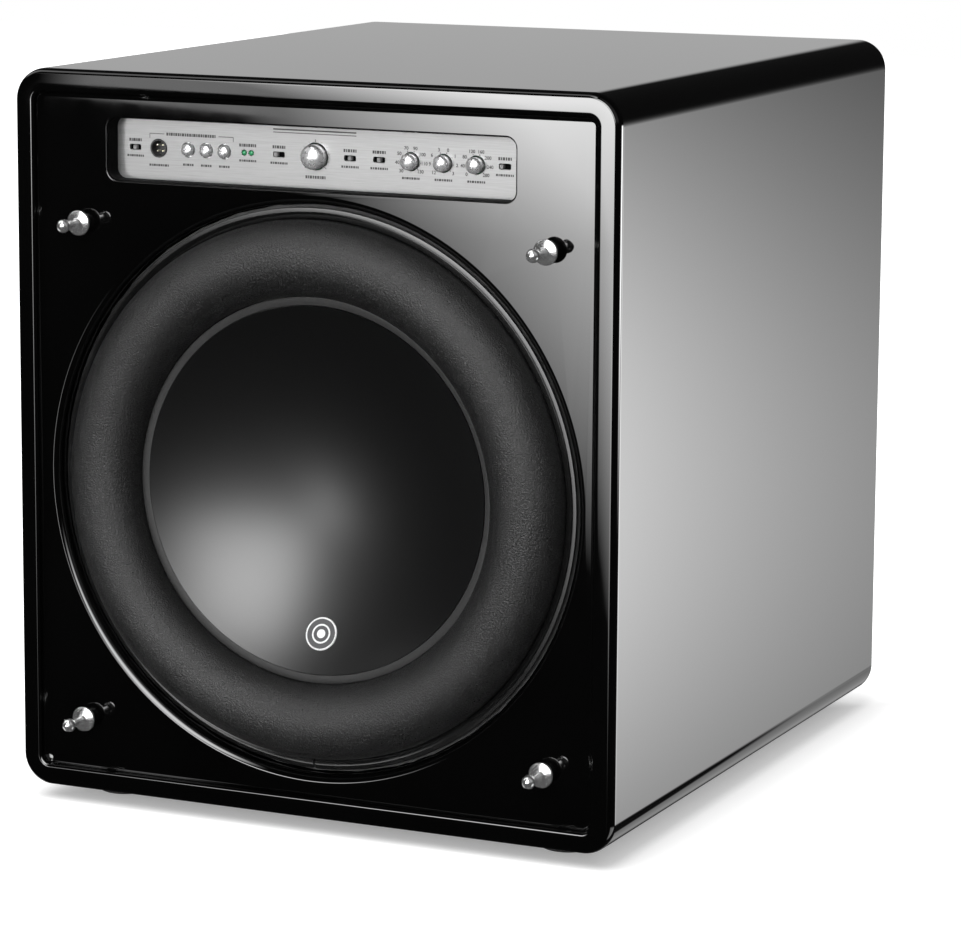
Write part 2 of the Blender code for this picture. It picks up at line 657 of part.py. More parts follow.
def make_controls():
    """The brushed plate behind the window, its knobs, buttons, switches, jack and lamps."""
    row = CONTROL_Z - WINDOW_Z
    knobs = [("master_knob", MASTER_X, MASTER_RADIUS, MASTER_HEIGHT)]
    for name, x in zip(SMALL_KNOB_NAMES, SMALL_KNOB_X):
        knobs.append((name, x, SMALL_KNOB_RADIUS, SMALL_KNOB_HEIGHT))

    margin = 2 * POCKET_MARGIN - 2 * GAP
    outlines = [rounded_outline(WINDOW_WIDTH + margin, WINDOW_HEIGHT + margin, 3 * MM, segments=2)]
    for name, x, radius, height in knobs:
        make_knob(name, x, radius, height)
        outlines.append(circle_outline(radius + KNOB_CLEARANCE, x - WINDOW_X, row, SMALL_STEPS))
    for name, x in zip(BUTTON_NAMES, BUTTON_X):
        face = FACE_FRONT - BUTTON_HEIGHT
        skirt = FACE_FRONT + FACE_THICKNESS + GAP
        profile = [
            (0, face),
            (BUTTON_RADIUS * 0.6, face + 0.3 * MM),
            (BUTTON_RADIUS, face + 1.6 * MM),
            (BUTTON_RADIUS, skirt),
            (BUTTON_RADIUS + 1.2 * MM, skirt),
            (BUTTON_RADIUS + 1.2 * MM, skirt + 1.2 * MM),
            (0, skirt + 1.2 * MM),
        ]
        turned(name, profile, (x, CONTROL_Z), TINY_STEPS, "knob_silver")
        outlines.append(circle_outline(BUTTON_RADIUS + BUTTON_CLEARANCE, x - WINDOW_X, row, TINY_STEPS))
    for name, x in zip(SLIDE_NAMES, SLIDE_X):
        base_front = FACE_FRONT + FACE_THICKNESS + GAP
        make_slide(name, x, CONTROL_Z, base_front, base_front + 1.5 * MM,
                   FACE_FRONT - 1 * MM, base_front + 1 * MM)
        outlines.append(rounded_outline(SLOT_LENGTH, SLOT_WIDTH, SLOT_CORNER, x - WINDOW_X, row, 1))
    for name, x in zip(LED_NAMES, LED_X):
        profile = [
            (0, FACE_FRONT - 0.8 * MM),
            (LED_RADIUS * 0.7, FACE_FRONT - 0.5 * MM),
            (LED_RADIUS, FACE_FRONT + 0.3 * MM),
            (LED_RADIUS, BOARD_FRONT - GAP),
            (0, BOARD_FRONT - GAP),
        ]
        turned(name, profile, (x, CONTROL_Z), TINY_STEPS, "lamp_green")
        outlines.append(circle_outline(LED_RADIUS + GAP, x - WINDOW_X, row, TINY_STEPS))

    barrel = JACK_RADIUS - 0.8 * MM
    flange = FACE_FRONT - GAP
    floor = FACE_FRONT + 7 * MM - GAP
    profile = [(0, flange - 0.6 * MM), (JACK_RADIUS, flange - 0.6 * MM), (JACK_RADIUS, flange),
               (barrel, flange), (barrel, floor), (0, floor)]
    jack = turned("microphone_jack", profile, (JACK_X, CONTROL_Z), SMALL_STEPS, "black_plastic")
    cut(jack, disc("jack_socket", 4.6 * MM, FACE_FRONT - 5 * MM, floor - 1 * MM,
                   (JACK_X, CONTROL_Z), SMALL_STEPS))
    outlines.append(circle_outline(barrel + GAP, JACK_X - WINDOW_X, row, SMALL_STEPS))
    flat_plate("control_plate", outlines, FACE_FRONT, FACE_FRONT + FACE_THICKNESS,
               WINDOW_X, WINDOW_Z, "brushed_aluminium")

    slab("control_board", WINDOW_WIDTH, WINDOW_HEIGHT, BOARD_FRONT, BOARD_FRONT + 1.6 * MM,
         WINDOW_X, WINDOW_Z, "circuit_board")


def make_amplifier():
    """The plate in the back's pocket, its sockets and switches, and the works inside."""
    back = AMP_FRONT + AMP_THICKNESS
    outlines = [rounded_outline(AMP_WIDTH, AMP_HEIGHT, AMP_RADIUS)]
    xlr_row = XLR_Z - AMP_Z

    for name, x in zip(("balanced_input_left", "balanced_input_right"), XLR_X):
        flange = back + GAP
        face = flange + 1.5 * MM
        profile = [(0, XLR_FRONT), (XLR_RADIUS, XLR_FRONT), (XLR_RADIUS, flange),
                   (XLR_FLANGE_RADIUS, flange), (XLR_FLANGE_RADIUS, face), (0, face)]
        jack = turned(name, profile, (x, XLR_Z), SMALL_STEPS, "black_plastic")
        cut(jack, disc(f"{name}_socket", XLR_SOCKET_RADIUS, XLR_SOCKET_FRONT, DEPTH, (x, XLR_Z),
                       SMALL_STEPS))
        outlines.append(circle_outline(XLR_RADIUS + GAP, x, xlr_row, SMALL_STEPS))

    jack = slab("line_input", RCA_SPACING + 16 * MM, 12 * MM, AMP_FRONT - 14 * MM, AMP_FRONT - GAP,
                RCA_X, XLR_Z, "black_plastic")
    for side, offset in (("left", -RCA_SPACING / 2), ("right", RCA_SPACING / 2)):
        x = RCA_X + offset
        barrel = disc(f"line_barrel_{side}", RCA_RADIUS, AMP_FRONT - 5 * MM, back + 9 * MM, (x, XLR_Z),
                      SMALL_STEPS)
        join(jack, barrel)
        outlines.append(circle_outline(RCA_RADIUS + GAP, x, xlr_row, SMALL_STEPS))

    inlet = slab("power_inlet", *INLET_SIZE, AMP_FRONT - 16 * MM, back + 0.8 * MM, INLET_X, INLET_Z,
                 "black_plastic")
    flange = slab("inlet_flange", INLET_SIZE[0] + 2 * INLET_FLANGE, INLET_SIZE[1] + 2 * INLET_FLANGE,
                  back + GAP, back + 2 * MM, INLET_X, INLET_Z)
    hollow = slab("inlet_hollow", INLET_SIZE[0] - 3 * MM, INLET_SIZE[1] - 4 * MM,
                  AMP_FRONT - 14 * MM, DEPTH, INLET_X, INLET_Z)
    join(inlet, flange)
    cut(inlet, hollow)
    outlines.append(rounded_outline(INLET_SIZE[0] + 2 * GAP, INLET_SIZE[1] + 2 * GAP, 0.5 * MM,
                                    INLET_X, INLET_Z - AMP_Z, 1))

    for name, x in zip(REAR_SLIDE_NAMES, REAR_SLIDE_X):
        base_back = AMP_FRONT - GAP
        make_slide(name, x, XLR_Z, base_back - 1.5 * MM, base_back, base_back - 1 * MM, back + 1 * MM)
        outlines.append(rounded_outline(SLOT_LENGTH, SLOT_WIDTH, SLOT_CORNER, x, xlr_row, 1))
    flat_plate("amp_plate", outlines, AMP_FRONT, back, 0, AMP_Z, "amp_plate_black")

    make_heatsink()
    slab("amp_board", 250 * MM, 170 * MM, AMP_BOARD_FRONT, AMP_BOARD_BACK, 0, AMP_Z - 5 * MM,
         "circuit_board")
    ring("power_transformer", 16 * MM, 46 * MM, AMP_BOARD_FRONT - 40 * MM, AMP_BOARD_FRONT - GAP,
         (-62 * MM, AMP_Z - 20 * MM), MEDIUM_STEPS, "transformer_tape")
    for name, up in (("upper_capacitor", 36 * MM), ("lower_capacitor", -20 * MM)):
        disc(name, 17 * MM, AMP_BOARD_FRONT - 52 * MM, AMP_BOARD_FRONT - GAP,
             (70 * MM, AMP_Z + up), SMALL_STEPS, "capacitor_sleeve")


def make_heatsink():
    """A finned bar between the plate and the amplifier's board."""
    width = 200 * MM
    depth_front = AMP_BOARD_BACK + GAP
    depth_back = AMP_FRONT - GAP
    thick = depth_back - depth_front
    fins = 7
    pitch = width / (2 * fins - 1)
    left = -width / 2
    outline = [(left, 0)]
    for fin in range(fins):
        start = left + 2 * fin * pitch
        outline += [(start, -thick), (start + pitch, -thick)]
        if fin < fins - 1:
            outline += [(start + pitch, -6 * MM), (start + 2 * pitch, -6 * MM)]
    outline.append((-left, 0))
    curve = bpy.data.curves.new("heatsink", "CURVE")
    curve.dimensions = "2D"
    curve.fill_mode = "BOTH"
    curve.extrude = 20 * MM
    spline = curve.splines.new("POLY")
    spline.points.add(len(outline) - 1)
    for point, (across, along) in zip(spline.points, outline):
        point.co = (across, along, 0, 1)
    spline.use_cyclic_u = True
    place("heatsink", curve, at_depth(0, depth_back, AMP_Z), finish="amp_plate_black")


def shade_round_pieces():
    """Smooth shading, with sharp edges left where faces meet at a clear angle."""
    for thing in PARTS.objects:
        if thing.type == "MESH":
            thing.data.shade_smooth()
            thing.data.set_sharp_from_angle(angle=math.radians(35))


make_cabinet()
make_baffle()
make_feet()
make_pegs()
make_frame()
make_surround()
make_cone()
make_spider()
make_motor()
make_controls()
make_amplifier()
shade_round_pieces()
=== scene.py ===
import json
import math

import bmesh
import bpy
from mathutils import Matrix, Vector


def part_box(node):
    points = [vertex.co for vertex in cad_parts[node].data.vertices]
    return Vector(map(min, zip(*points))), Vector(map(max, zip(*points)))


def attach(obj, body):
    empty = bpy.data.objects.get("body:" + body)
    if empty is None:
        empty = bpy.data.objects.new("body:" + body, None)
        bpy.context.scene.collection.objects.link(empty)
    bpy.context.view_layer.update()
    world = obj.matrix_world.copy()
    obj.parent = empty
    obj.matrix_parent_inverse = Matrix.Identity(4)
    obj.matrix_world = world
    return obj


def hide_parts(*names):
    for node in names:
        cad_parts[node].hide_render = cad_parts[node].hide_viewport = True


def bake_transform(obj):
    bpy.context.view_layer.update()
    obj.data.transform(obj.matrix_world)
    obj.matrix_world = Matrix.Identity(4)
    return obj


# The looks of a powered subwoofer. Metres, +Z up, the front faces -Y. Depths are distances behind
# the plane of the cabinet's front rim, and turned profiles are lists of (radius, depth) points.

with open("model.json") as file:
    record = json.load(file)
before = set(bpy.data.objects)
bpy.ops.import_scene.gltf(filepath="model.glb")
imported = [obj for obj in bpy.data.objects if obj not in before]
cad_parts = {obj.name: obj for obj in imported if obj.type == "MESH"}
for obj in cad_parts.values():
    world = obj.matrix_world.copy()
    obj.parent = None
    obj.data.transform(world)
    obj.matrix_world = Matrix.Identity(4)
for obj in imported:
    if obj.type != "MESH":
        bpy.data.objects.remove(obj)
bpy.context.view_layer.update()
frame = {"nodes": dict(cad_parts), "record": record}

MM = 0.001
SHELL_LOW, SHELL_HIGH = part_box("cabinet_shell")
RIM_Y = SHELL_LOW.y
WIDTH = SHELL_HIGH.x - SHELL_LOW.x
HEIGHT = SHELL_HIGH.z - SHELL_LOW.z
DEPTH = SHELL_HIGH.y - SHELL_LOW.y
CABINET_CENTRE = (0, (SHELL_LOW.z + SHELL_HIGH.z) / 2)

EDGE_RADIUS = 20.5 * MM           # long edges
RIM_WIDTH = 14.2 * MM
BAFFLE_DEPTH = 6 * MM
COVE_WIDTH = 4.8 * MM             # lacquer cove between the baffle and the rim
COVE_RISE = 5 * MM
COVE_START = 10                   # degrees, leaves a crease at the flat face
CORNER_STEPS = 20                 # round each corner of the cabinet

CONE_LOW, CONE_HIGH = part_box("cone")
DRIVER = ((CONE_LOW.x + CONE_HIGH.x) / 2, (CONE_LOW.z + CONE_HIGH.z) / 2)
OPENING_RADIUS = 182 * MM
OPENING_ROUND = 5.5 * MM
DISH_SPHERE = 237 * MM
DISH_BOTTOM = 41.5 * MM
DISH_RADIUS = 117.8 * MM
ROLL_RADIUS = 24 * MM
ROLL_CENTRE = 148 * MM
ROLL_BASE = 10 * MM
ROUND_STEPS = 240                 # round the driver
SECTORS = 48                      # pieces that the surround and the spider are made in

PLATE_LOW, PLATE_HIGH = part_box("control_plate")
PLATE_DEPTH = PLATE_LOW.y - RIM_Y
WINDOW_CENTRE = ((PLATE_LOW.x + PLATE_HIGH.x) / 2, (PLATE_LOW.z + PLATE_HIGH.z) / 2)
WINDOW_SIZE = (284 * MM, 40 * MM)
WINDOW_RADIUS = 7 * MM
WINDOW_STEPS = 16                 # round each corner of the window

POLE = 0.2e-6                     # least radius of a ring, so that a middle closes when welded
WELD = 0.5e-6


# ---------------------------------------------------------------- frame helpers

def node_middle(node):
    """(x, z) of the middle of a CAD node."""
    low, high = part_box(node)
    return ((low.x + high.x) / 2, (low.z + high.z) / 2)


def node_size(node):
    """(width, height) of a CAD node."""
    low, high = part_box(node)
    return (high.x - low.x, high.z - low.z)


def node_radius(node):
    """Half the width of a CAD node."""
    return node_size(node)[0] / 2


def node_depths(node):
    """Depths of a CAD node's front and back."""
    low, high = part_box(node)
    return low.y - RIM_Y, high.y - RIM_Y


# ---------------------------------------------------------------- materials

USUAL = (0.3, 0.7)                # nearly all of a noise's values lie between these


def feed(tree, kind, source, socket, **values):
    """Add a node, link a source to one of its sockets and set others, named with _ for a space."""
    node = tree.nodes.new(kind)
    for name, value in values.items():
        node.inputs[name.replace("_", " ")].default_value = value
    tree.links.new(source, node.inputs[socket])
    return node


class Shader:
    """A node material with short calls for the nodes that the finishes use."""

    def __init__(self, name, roughness=0.5, metallic=0.0, specular=0.5):
        self.material = bpy.data.materials.new(name)
        self.material.use_nodes = True
        self.tree = self.material.node_tree
        self.bsdf = self.tree.nodes["Principled BSDF"]
        self.set("Roughness", roughness)
        self.set("Metallic", metallic)
        self.set("Specular IOR Level", specular)
        self.place = self.tree.nodes.new("ShaderNodeTexCoord").outputs["Object"]

    def set(self, socket, value):
        self.bsdf.inputs[socket].default_value = value

    def link(self, source, socket):
        self.tree.links.new(source, self.bsdf.inputs[socket])

    def noise(self, scale, detail=3.0, rough=0.5, stretch=(1, 1, 1)):
        """Noise, drawn out along an axis by a small factor in its stretch."""
        mapping = feed(self.tree, "ShaderNodeMapping", self.place, "Vector", Scale=stretch)
        texture = feed(self.tree, "ShaderNodeTexNoise", mapping.outputs["Vector"], "Vector", Scale=scale,
                       Detail=detail, Roughness=rough)
        return texture.outputs["Fac"]

    def paint(self, source, *stops):
        """Colour the surface by a ramp of (position, colour) stops."""
        ramp = self.tree.nodes.new("ShaderNodeValToRGB")
        elements = ramp.color_ramp.elements
        while len(elements) < len(stops):
            elements.new(0.5)
        for element, (position, colour) in zip(elements, stops):
            element.position = position
            element.color = (*colour, 1)
        self.tree.links.new(source, ramp.inputs["Fac"])
        self.link(ramp.outputs["Color"], "Base Color")

    def tones(self, source, dark, light):
        """Colour the surface from dark to light, as the source runs through its usual values."""
        self.paint(source, (USUAL[0], dark), (USUAL[1], light))

    def roughen(self, source, low, high):
        """Vary the roughness from low to high, as the source runs through its usual values."""
        spread = feed(self.tree, "ShaderNodeMapRange", source, "Value", From_Min=USUAL[0], From_Max=USUAL[1],
                      To_Min=low, To_Max=high)
        self.link(spread.outputs["Result"], "Roughness")

    def bump(self, source, height):
        """Bump of a height in metres."""
        bump = feed(self.tree, "ShaderNodeBump", source, "Height", Distance=height)
        self.link(bump.outputs["Normal"], "Normal")


def grey(value):
    """A grey, as a colour."""
    return (value, value, value)


def shade(colour, factor):
    """A colour made darker or lighter."""
    return tuple(factor * part for part in colour)


def lacquer():
    """Deep black polished lacquer, with the faintest unevenness of a hand-polished coat."""
    shader = Shader("black_lacquer", roughness=0.02)
    shader.tones(shader.noise(9, 2), grey(0.0004), grey(0.0008))
    shader.roughen(shader.noise(40, 4), 0.012, 0.03)
    return shader.material


def rubber(name, colour, grain, height, roughness, fleck=2.1):
    """Moulded rubber or foam with a fine grain, whose flecks are lighter by a factor."""
    shader = Shader(name, roughness=roughness, specular=0.45)
    speckle = shader.noise(grain, 3, 0.6)
    shader.paint(speckle, (0.32, grey(colour * 0.55)), (0.5, grey(colour)), (0.7, grey(colour * fleck)))
    shader.roughen(shader.noise(grain * 0.8, 2), roughness - 0.12, roughness + 0.2)
    shader.bump(speckle, height)
    return shader.material


def moulded(name, colour, roughness, grain=900, height=0.03 * MM, specular=0.5, uneven=0.12):
    """Moulded plastic with a fine spark-eroded grain."""
    shader = Shader(name, roughness=roughness, specular=specular)
    shader.tones(shader.noise(grain * 0.5, 3), shade(colour, 0.8), shade(colour, 1.25))
    shader.roughen(shader.noise(grain * 0.3, 2), roughness * (1 - uneven), roughness * (1 + uneven))
    shader.bump(shader.noise(grain, 2), height)
    return shader.material


def metal(name, colour, roughness, stretch=(1, 1, 1), grain=700, contrast=0.06, height=0.01 * MM,
          metallic=1.0):
    """Bare, plated or painted metal; the stretch draws the grain out into brush marks."""
    shader = Shader(name, roughness=roughness, metallic=metallic)
    marks = shader.noise(grain, 4, 0.6, stretch)
    shader.tones(marks, shade(colour, 1 - contrast), shade(colour, 1 + contrast))
    shader.roughen(marks, roughness * 0.85, roughness * 1.2)
    shader.bump(marks, height)
    return shader.material


def woven(name, colour, weave):
    """Treated cloth."""
    shader = Shader(name, roughness=0.9)
    cells = feed(shader.tree, "ShaderNodeTexVoronoi", shader.place, "Vector", Scale=weave)
    threads = cells.outputs["Distance"]
    shader.paint(threads, (0.1, colour), (0.8, shade(colour, 0.6)))
    shader.bump(threads, 0.15 * MM)
    return shader.material


def board(name, colour):
    """A sawn board of pressed fibres."""
    shader = Shader(name, roughness=0.85)
    fibres = shader.noise(300, 5, 0.7)
    shader.tones(fibres, shade(colour, 0.8), colour)
    shader.bump(fibres, 0.2 * MM)
    return shader.material


def wound(name, colour, dark, turns, roughness=0.35, metallic=0.0):
    """Wire or tape wound round and round, turns to the metre."""
    shader = Shader(name, roughness=roughness, metallic=metallic)
    wave = feed(shader.tree, "ShaderNodeTexWave", shader.place, "Vector", Scale=turns, Distortion=0.6)
    wave.bands_direction = "Y"
    shader.paint(wave.outputs["Fac"], (0.1, dark), (0.6, colour))
    shader.bump(wave.outputs["Fac"], 0.1 * MM)
    return shader.material


def printed(name, colour):
    """Screen-printed ink, slightly uneven."""
    shader = Shader(name, roughness=0.4)
    shader.tones(shader.noise(2500, 2), shade(colour, 0.8), colour)
    return shader.material


def lens(name, colour):
    """A coloured lamp lens, lit a little from behind."""
    shader = Shader(name, roughness=0.25)
    shader.tones(shader.noise(900, 2), shade(colour, 0.7), colour)
    shader.set("Emission Color", (*colour, 1))
    shader.set("Emission Strength", 0.15)
    return shader.material


BRUSHED = (0.03, 1, 1)            # brush marks along X

FINISHES = {
    "black_lacquer": lacquer(),
    "bare_board": board("bare_board", (0.45, 0.33, 0.2)),
    "foot_rubber": rubber("foot_rubber", 0.02, 500, 0.05 * MM, 0.7),
    "peg_chrome": metal("peg_chrome", grey(0.7), 0.2, grain=300, contrast=0.03, height=0, metallic=0.92),
    "cast_frame": moulded("cast_frame", grey(0.02), 0.5, 400, 0.08 * MM),
    "foam": rubber("foam", 0.02, 900, 0.2 * MM, 0.9),
    "trim_gloss": moulded("trim_gloss", grey(0.004), 0.12, 200, 0.0),
    "surround_rubber": rubber("surround_rubber", 0.003, 1000, 0.7 * MM, 0.38, fleck=9),
    "cone_satin": moulded("cone_satin", grey(0.002), 0.33, 1500, 0.0, uneven=0.02),
    "band_satin": moulded("band_satin", grey(0.014), 0.5, 1200, 0.02 * MM, 0.3),
    "badge_silver": metal("badge_silver", grey(0.85), 0.3, metallic=0.2),
    "badge_field": printed("badge_field", (0.05, 0.05, 0.052)),
    "coil_former": wound("coil_former", (0.5, 0.35, 0.1), (0.3, 0.2, 0.05), 400),
    "copper": wound("copper", (0.75, 0.32, 0.16), (0.25, 0.08, 0.03), 1500, 0.3, 1.0),
    "spider_cloth": woven("spider_cloth", (0.55, 0.45, 0.15), 900),
    "plated_steel": metal("plated_steel", (0.5, 0.5, 0.52), 0.35, grain=500),
    "ferrite": moulded("ferrite", (0.06, 0.06, 0.065), 0.7, 600, 0.05 * MM),
    "bolt_steel": metal("bolt_steel", grey(0.04), 0.4),
    "brushed_aluminium": metal("brushed_aluminium", grey(0.25), 0.36, BRUSHED, 1600, 0.1, 0.008 * MM, 0.85),
    "knob_silver": metal("knob_silver", (0.78, 0.78, 0.79), 0.28, grain=400, contrast=0.03, height=0,
                         metallic=0.8),
    # Near-black with almost no gloss: painted shade over the window's walls, and on the slide bases black
    # plastic darkened to painted shade in their slots.
    "black_and_painted_shade": moulded("black_and_painted_shade", grey(0.001), 0.6, specular=0.03),
    "thumb_grey": moulded("thumb_grey", grey(0.25), 0.4),
    "black_plastic": moulded("black_plastic", grey(0.012), 0.4),
    "ink": printed("ink", grey(0.01)),
    "lamp_green": lens("lamp_green", (0.03, 0.25, 0.1)),
    "circuit_board": moulded("circuit_board", (0.02, 0.16, 0.06), 0.45, 500, 0.05 * MM),
    "amp_plate_black": metal("amp_plate_black", (0.09, 0.09, 0.092), 0.4, (0.04, 1, 1), 1500, 0.15),
    "transformer_tape": wound("transformer_tape", (0.5, 0.4, 0.05), (0.35, 0.26, 0.03), 60),
    "capacitor_sleeve": moulded("capacitor_sleeve", (0.02, 0.03, 0.08), 0.35),
    "contact_metal": metal("contact_metal", (0.75, 0.7, 0.55), 0.3),
    "screw_black": metal("screw_black", grey(0.06), 0.3),
}


# ---------------------------------------------------------------- shapes

def add_piece(name, form, finish, sharp=32, even=True):
    """Make an object from a bmesh, smooth shaded with sharp edges kept."""
    bmesh.ops.remove_doubles(form, verts=form.verts, dist=WELD)
    bmesh.ops.recalc_face_normals(form, faces=form.faces)
    mesh = bpy.data.meshes.new(name)
    form.to_mesh(mesh)
    form.free()
    mesh.materials.append(FINISHES[finish])
    mesh.shade_smooth()
    mesh.set_sharp_from_angle(angle=math.radians(sharp))
    thing = bpy.data.objects.new(name, mesh)
    bpy.context.scene.collection.objects.link(thing)
    if even:
        weighted = thing.modifiers.new("Even normals", "WEIGHTED_NORMAL")
        weighted.keep_sharp = True
    return thing


def seat(thing, body, slot, *nodes):
    """Fix a piece to a CAD body and hide the nodes that it stands for; the slot is not used."""
    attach(thing, body)
    if nodes:
        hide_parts(*nodes)
    return thing


def arc(centre, radii, start, end, steps):
    """(radius, depth) points on an ellipse: 0 degrees points outwards and 90 to the front."""
    points = []
    for step in range(steps + 1):
        angle = math.radians(start + (end - start) * step / steps)
        points.append((centre[0] + radii[0] * math.cos(angle), centre[1] - radii[1] * math.sin(angle)))
    return points


def circle(radius, depth, centre, steps, start=0.0, end=360.0):
    """Points round a circle, or along part of one, at a depth."""
    count = steps if end - start == 360.0 else steps + 1
    points = []
    for step in range(count):
        turn = math.radians(start + (end - start) * step / steps)
        points.append(Vector((centre[0] + radius * math.cos(turn), RIM_Y + depth,
                              centre[1] + radius * math.sin(turn))))
    return points


def rounded(width, height, radius, depth, centre, segments=12):
    """Points round a rectangle with round corners, at a depth."""
    points = []
    for side_x, side_z, start in ((1, 1, 0), (-1, 1, 90), (-1, -1, 180), (1, -1, 270)):
        corner_x = centre[0] + side_x * (width / 2 - radius)
        corner_z = centre[1] + side_z * (height / 2 - radius)
        for step in range(segments + 1):
            turn = math.radians(start + 90 * step / segments)
            points.append(Vector((corner_x + radius * math.cos(turn), RIM_Y + depth,
                                  corner_z + radius * math.sin(turn))))
    return points


def bridge(form, rings, closed_rings=True, closed_path=False):
    """Join rings of points by faces and give back their vertices."""
    made = [[form.verts.new(point) for point in ring] for ring in rings]
    pairs = list(zip(made, made[1:]))
    if closed_path:
        pairs.append((made[-1], made[0]))
    for first, second in pairs:
        count = len(first)
        for i in range(count if closed_rings else count - 1):
            j = (i + 1) % count
            form.faces.new((first[i], first[j], second[j], second[i]))
    return made


def loft(name, rings, finish, closed_path=False, caps=False, **options):
    """A piece through rings of points."""
    form = bmesh.new()
    made = bridge(form, rings, closed_path=closed_path)
    if caps:
        form.faces.new(made[0])
        form.faces.new(list(reversed(made[-1])))
    return add_piece(name, form, finish, **options)


def turn(name, profile, centre, finish, steps=96, closed=False, **options):
    """A turned piece about an axis along the depth."""
    rings = [circle(max(radius, POLE), depth, centre, steps) for radius, depth in profile]
    return loft(name, rings, finish, closed_path=closed, **options)


def turn_on(name, place, profile, finish, steps):
    """A turned piece about the Z axis of a place, through (radius, height) points."""
    rings = []
    for reach, height in profile:
        reach = max(reach, POLE)
        turns = [2 * math.pi * step / steps for step in range(steps)]
        rings.append([place @ Vector((reach * math.cos(a), reach * math.sin(a), height)) for a in turns])
    return loft(name, rings, finish)


def section(base, *points):
    """Points of a profile given in millimetres, with their depths counted from a base."""
    return [(radius * MM, base + depth * MM) for radius, depth in points]


def around(centre, reach, degrees):
    """(x, z) of a place round a centre."""
    angle = math.radians(degrees)
    return (centre[0] + reach * math.cos(angle), centre[1] + reach * math.sin(angle))


def inset_rings(outline, size, radius, centre, segments):
    """Rings round a rectangle with round corners, for each (inset, depth) of an outline."""
    return [rounded(size[0] - 2 * inset, size[1] - 2 * inset, radius - inset, depth, centre, segments)
            for inset, depth in outline]


def walls(depths, size, radius, centre, segments):
    """Rings down straight walls round a rectangle with round corners."""
    return inset_rings([(0, depth) for depth in depths], size, radius, centre, segments)


def fill_flat(form, loops):
    """Fill the flat region between loops of vertices."""
    edges = []
    for loop in loops:
        for i, vertex in enumerate(loop):
            other = loop[(i + 1) % len(loop)]
            edges.append(form.edges.get((vertex, other)) or form.edges.new((vertex, other)))
    bmesh.ops.triangle_fill(form, use_beauty=True, use_dissolve=False, edges=edges)


def panel(name, borders, finish, **options):
    """A plate: each border is rings from the front plane to the back plane, round its edge or a hole."""
    form = bmesh.new()
    made = [bridge(form, rings) for rings in borders]
    fill_flat(form, [rings[0] for rings in made])
    fill_flat(form, [rings[-1] for rings in made])
    return add_piece(name, form, finish, **options)


def hole_border(radius, front, back, centre, steps=48, chamfer=0.15 * MM):
    """Rings down a round hole with a fine chamfer."""
    profile = ((radius + chamfer, front), (radius, front + chamfer), (radius, back))
    return [circle(reach, depth, centre, steps) for reach, depth in profile]


def join_pieces(name, things):
    """Make one object of several."""
    with bpy.context.temp_override(active_object=things[0], selected_editable_objects=things):
        bpy.ops.object.join()
    things[0].name = name
    return things[0]


# ---------------------------------------------------------------- cabinet

def make_cabinet():
    """The lacquered shell: crowned front rim, long rounded edges and the pocket in the back."""
    inner_across = 2.4 * MM
    inner_along = 1 * MM
    crown = 0.008 * MM
    front_across = 3.2 * MM
    front_along = 7 * MM
    back_round = 3.5 * MM
    seat_depth = 38.3 * MM

    outline = [(RIM_WIDTH, seat_depth), (RIM_WIDTH, 8 * MM)]
    outline += arc((RIM_WIDTH - inner_across, inner_along + crown), (inner_across, inner_along), 0, 90, 18)
    half = (RIM_WIDTH - inner_across - front_across) / 2
    for step in range(1, 12):
        across = 1 - step / 6
        outline.append((front_across + half * (1 + across), crown * across**2))
    outline += arc((front_across, front_along + crown), (front_across, front_along), 90, 180, 24)
    outline += arc((back_round, DEPTH - back_round), (back_round, back_round), 180, 270, 10)
    rings = inset_rings(outline, (WIDTH, HEIGHT), EDGE_RADIUS, CABINET_CENTRE, CORNER_STEPS)

    gap = 0.3 * MM
    lip = 1.2 * MM
    pocket = [length + 2 * gap for length in node_size("amp_plate")]
    pocket_depth = node_depths("amp_plate")[0] - gap
    mouth = arc((-lip, DEPTH - lip), (lip, lip), 270, 360, 6) + [(0, pocket_depth)]
    rings += inset_rings(mouth, pocket, 6 * MM, node_middle("amp_plate"), CORNER_STEPS)

    wall = DEPTH - 25 * MM
    rings += walls((pocket_depth, wall), (290 * MM, 210 * MM), 1 * MM, CABINET_CENTRE, CORNER_STEPS)
    rings += walls((wall, seat_depth), (369 * MM, 420 * MM), 1 * MM, CABINET_CENTRE, CORNER_STEPS)
    shell = loft("cabinet", rings, "black_lacquer", closed_path=True, sharp=40)
    seat(shell, "cabinet", "black_lacquer", "cabinet_shell")


def peg_centres():
    """Name and (x, z) of each grille peg."""
    names = [f"grille_peg_{level}_{side}" for level in ("top", "bottom") for side in ("left", "right")]
    return [(name, node_middle(name)) for name in names]


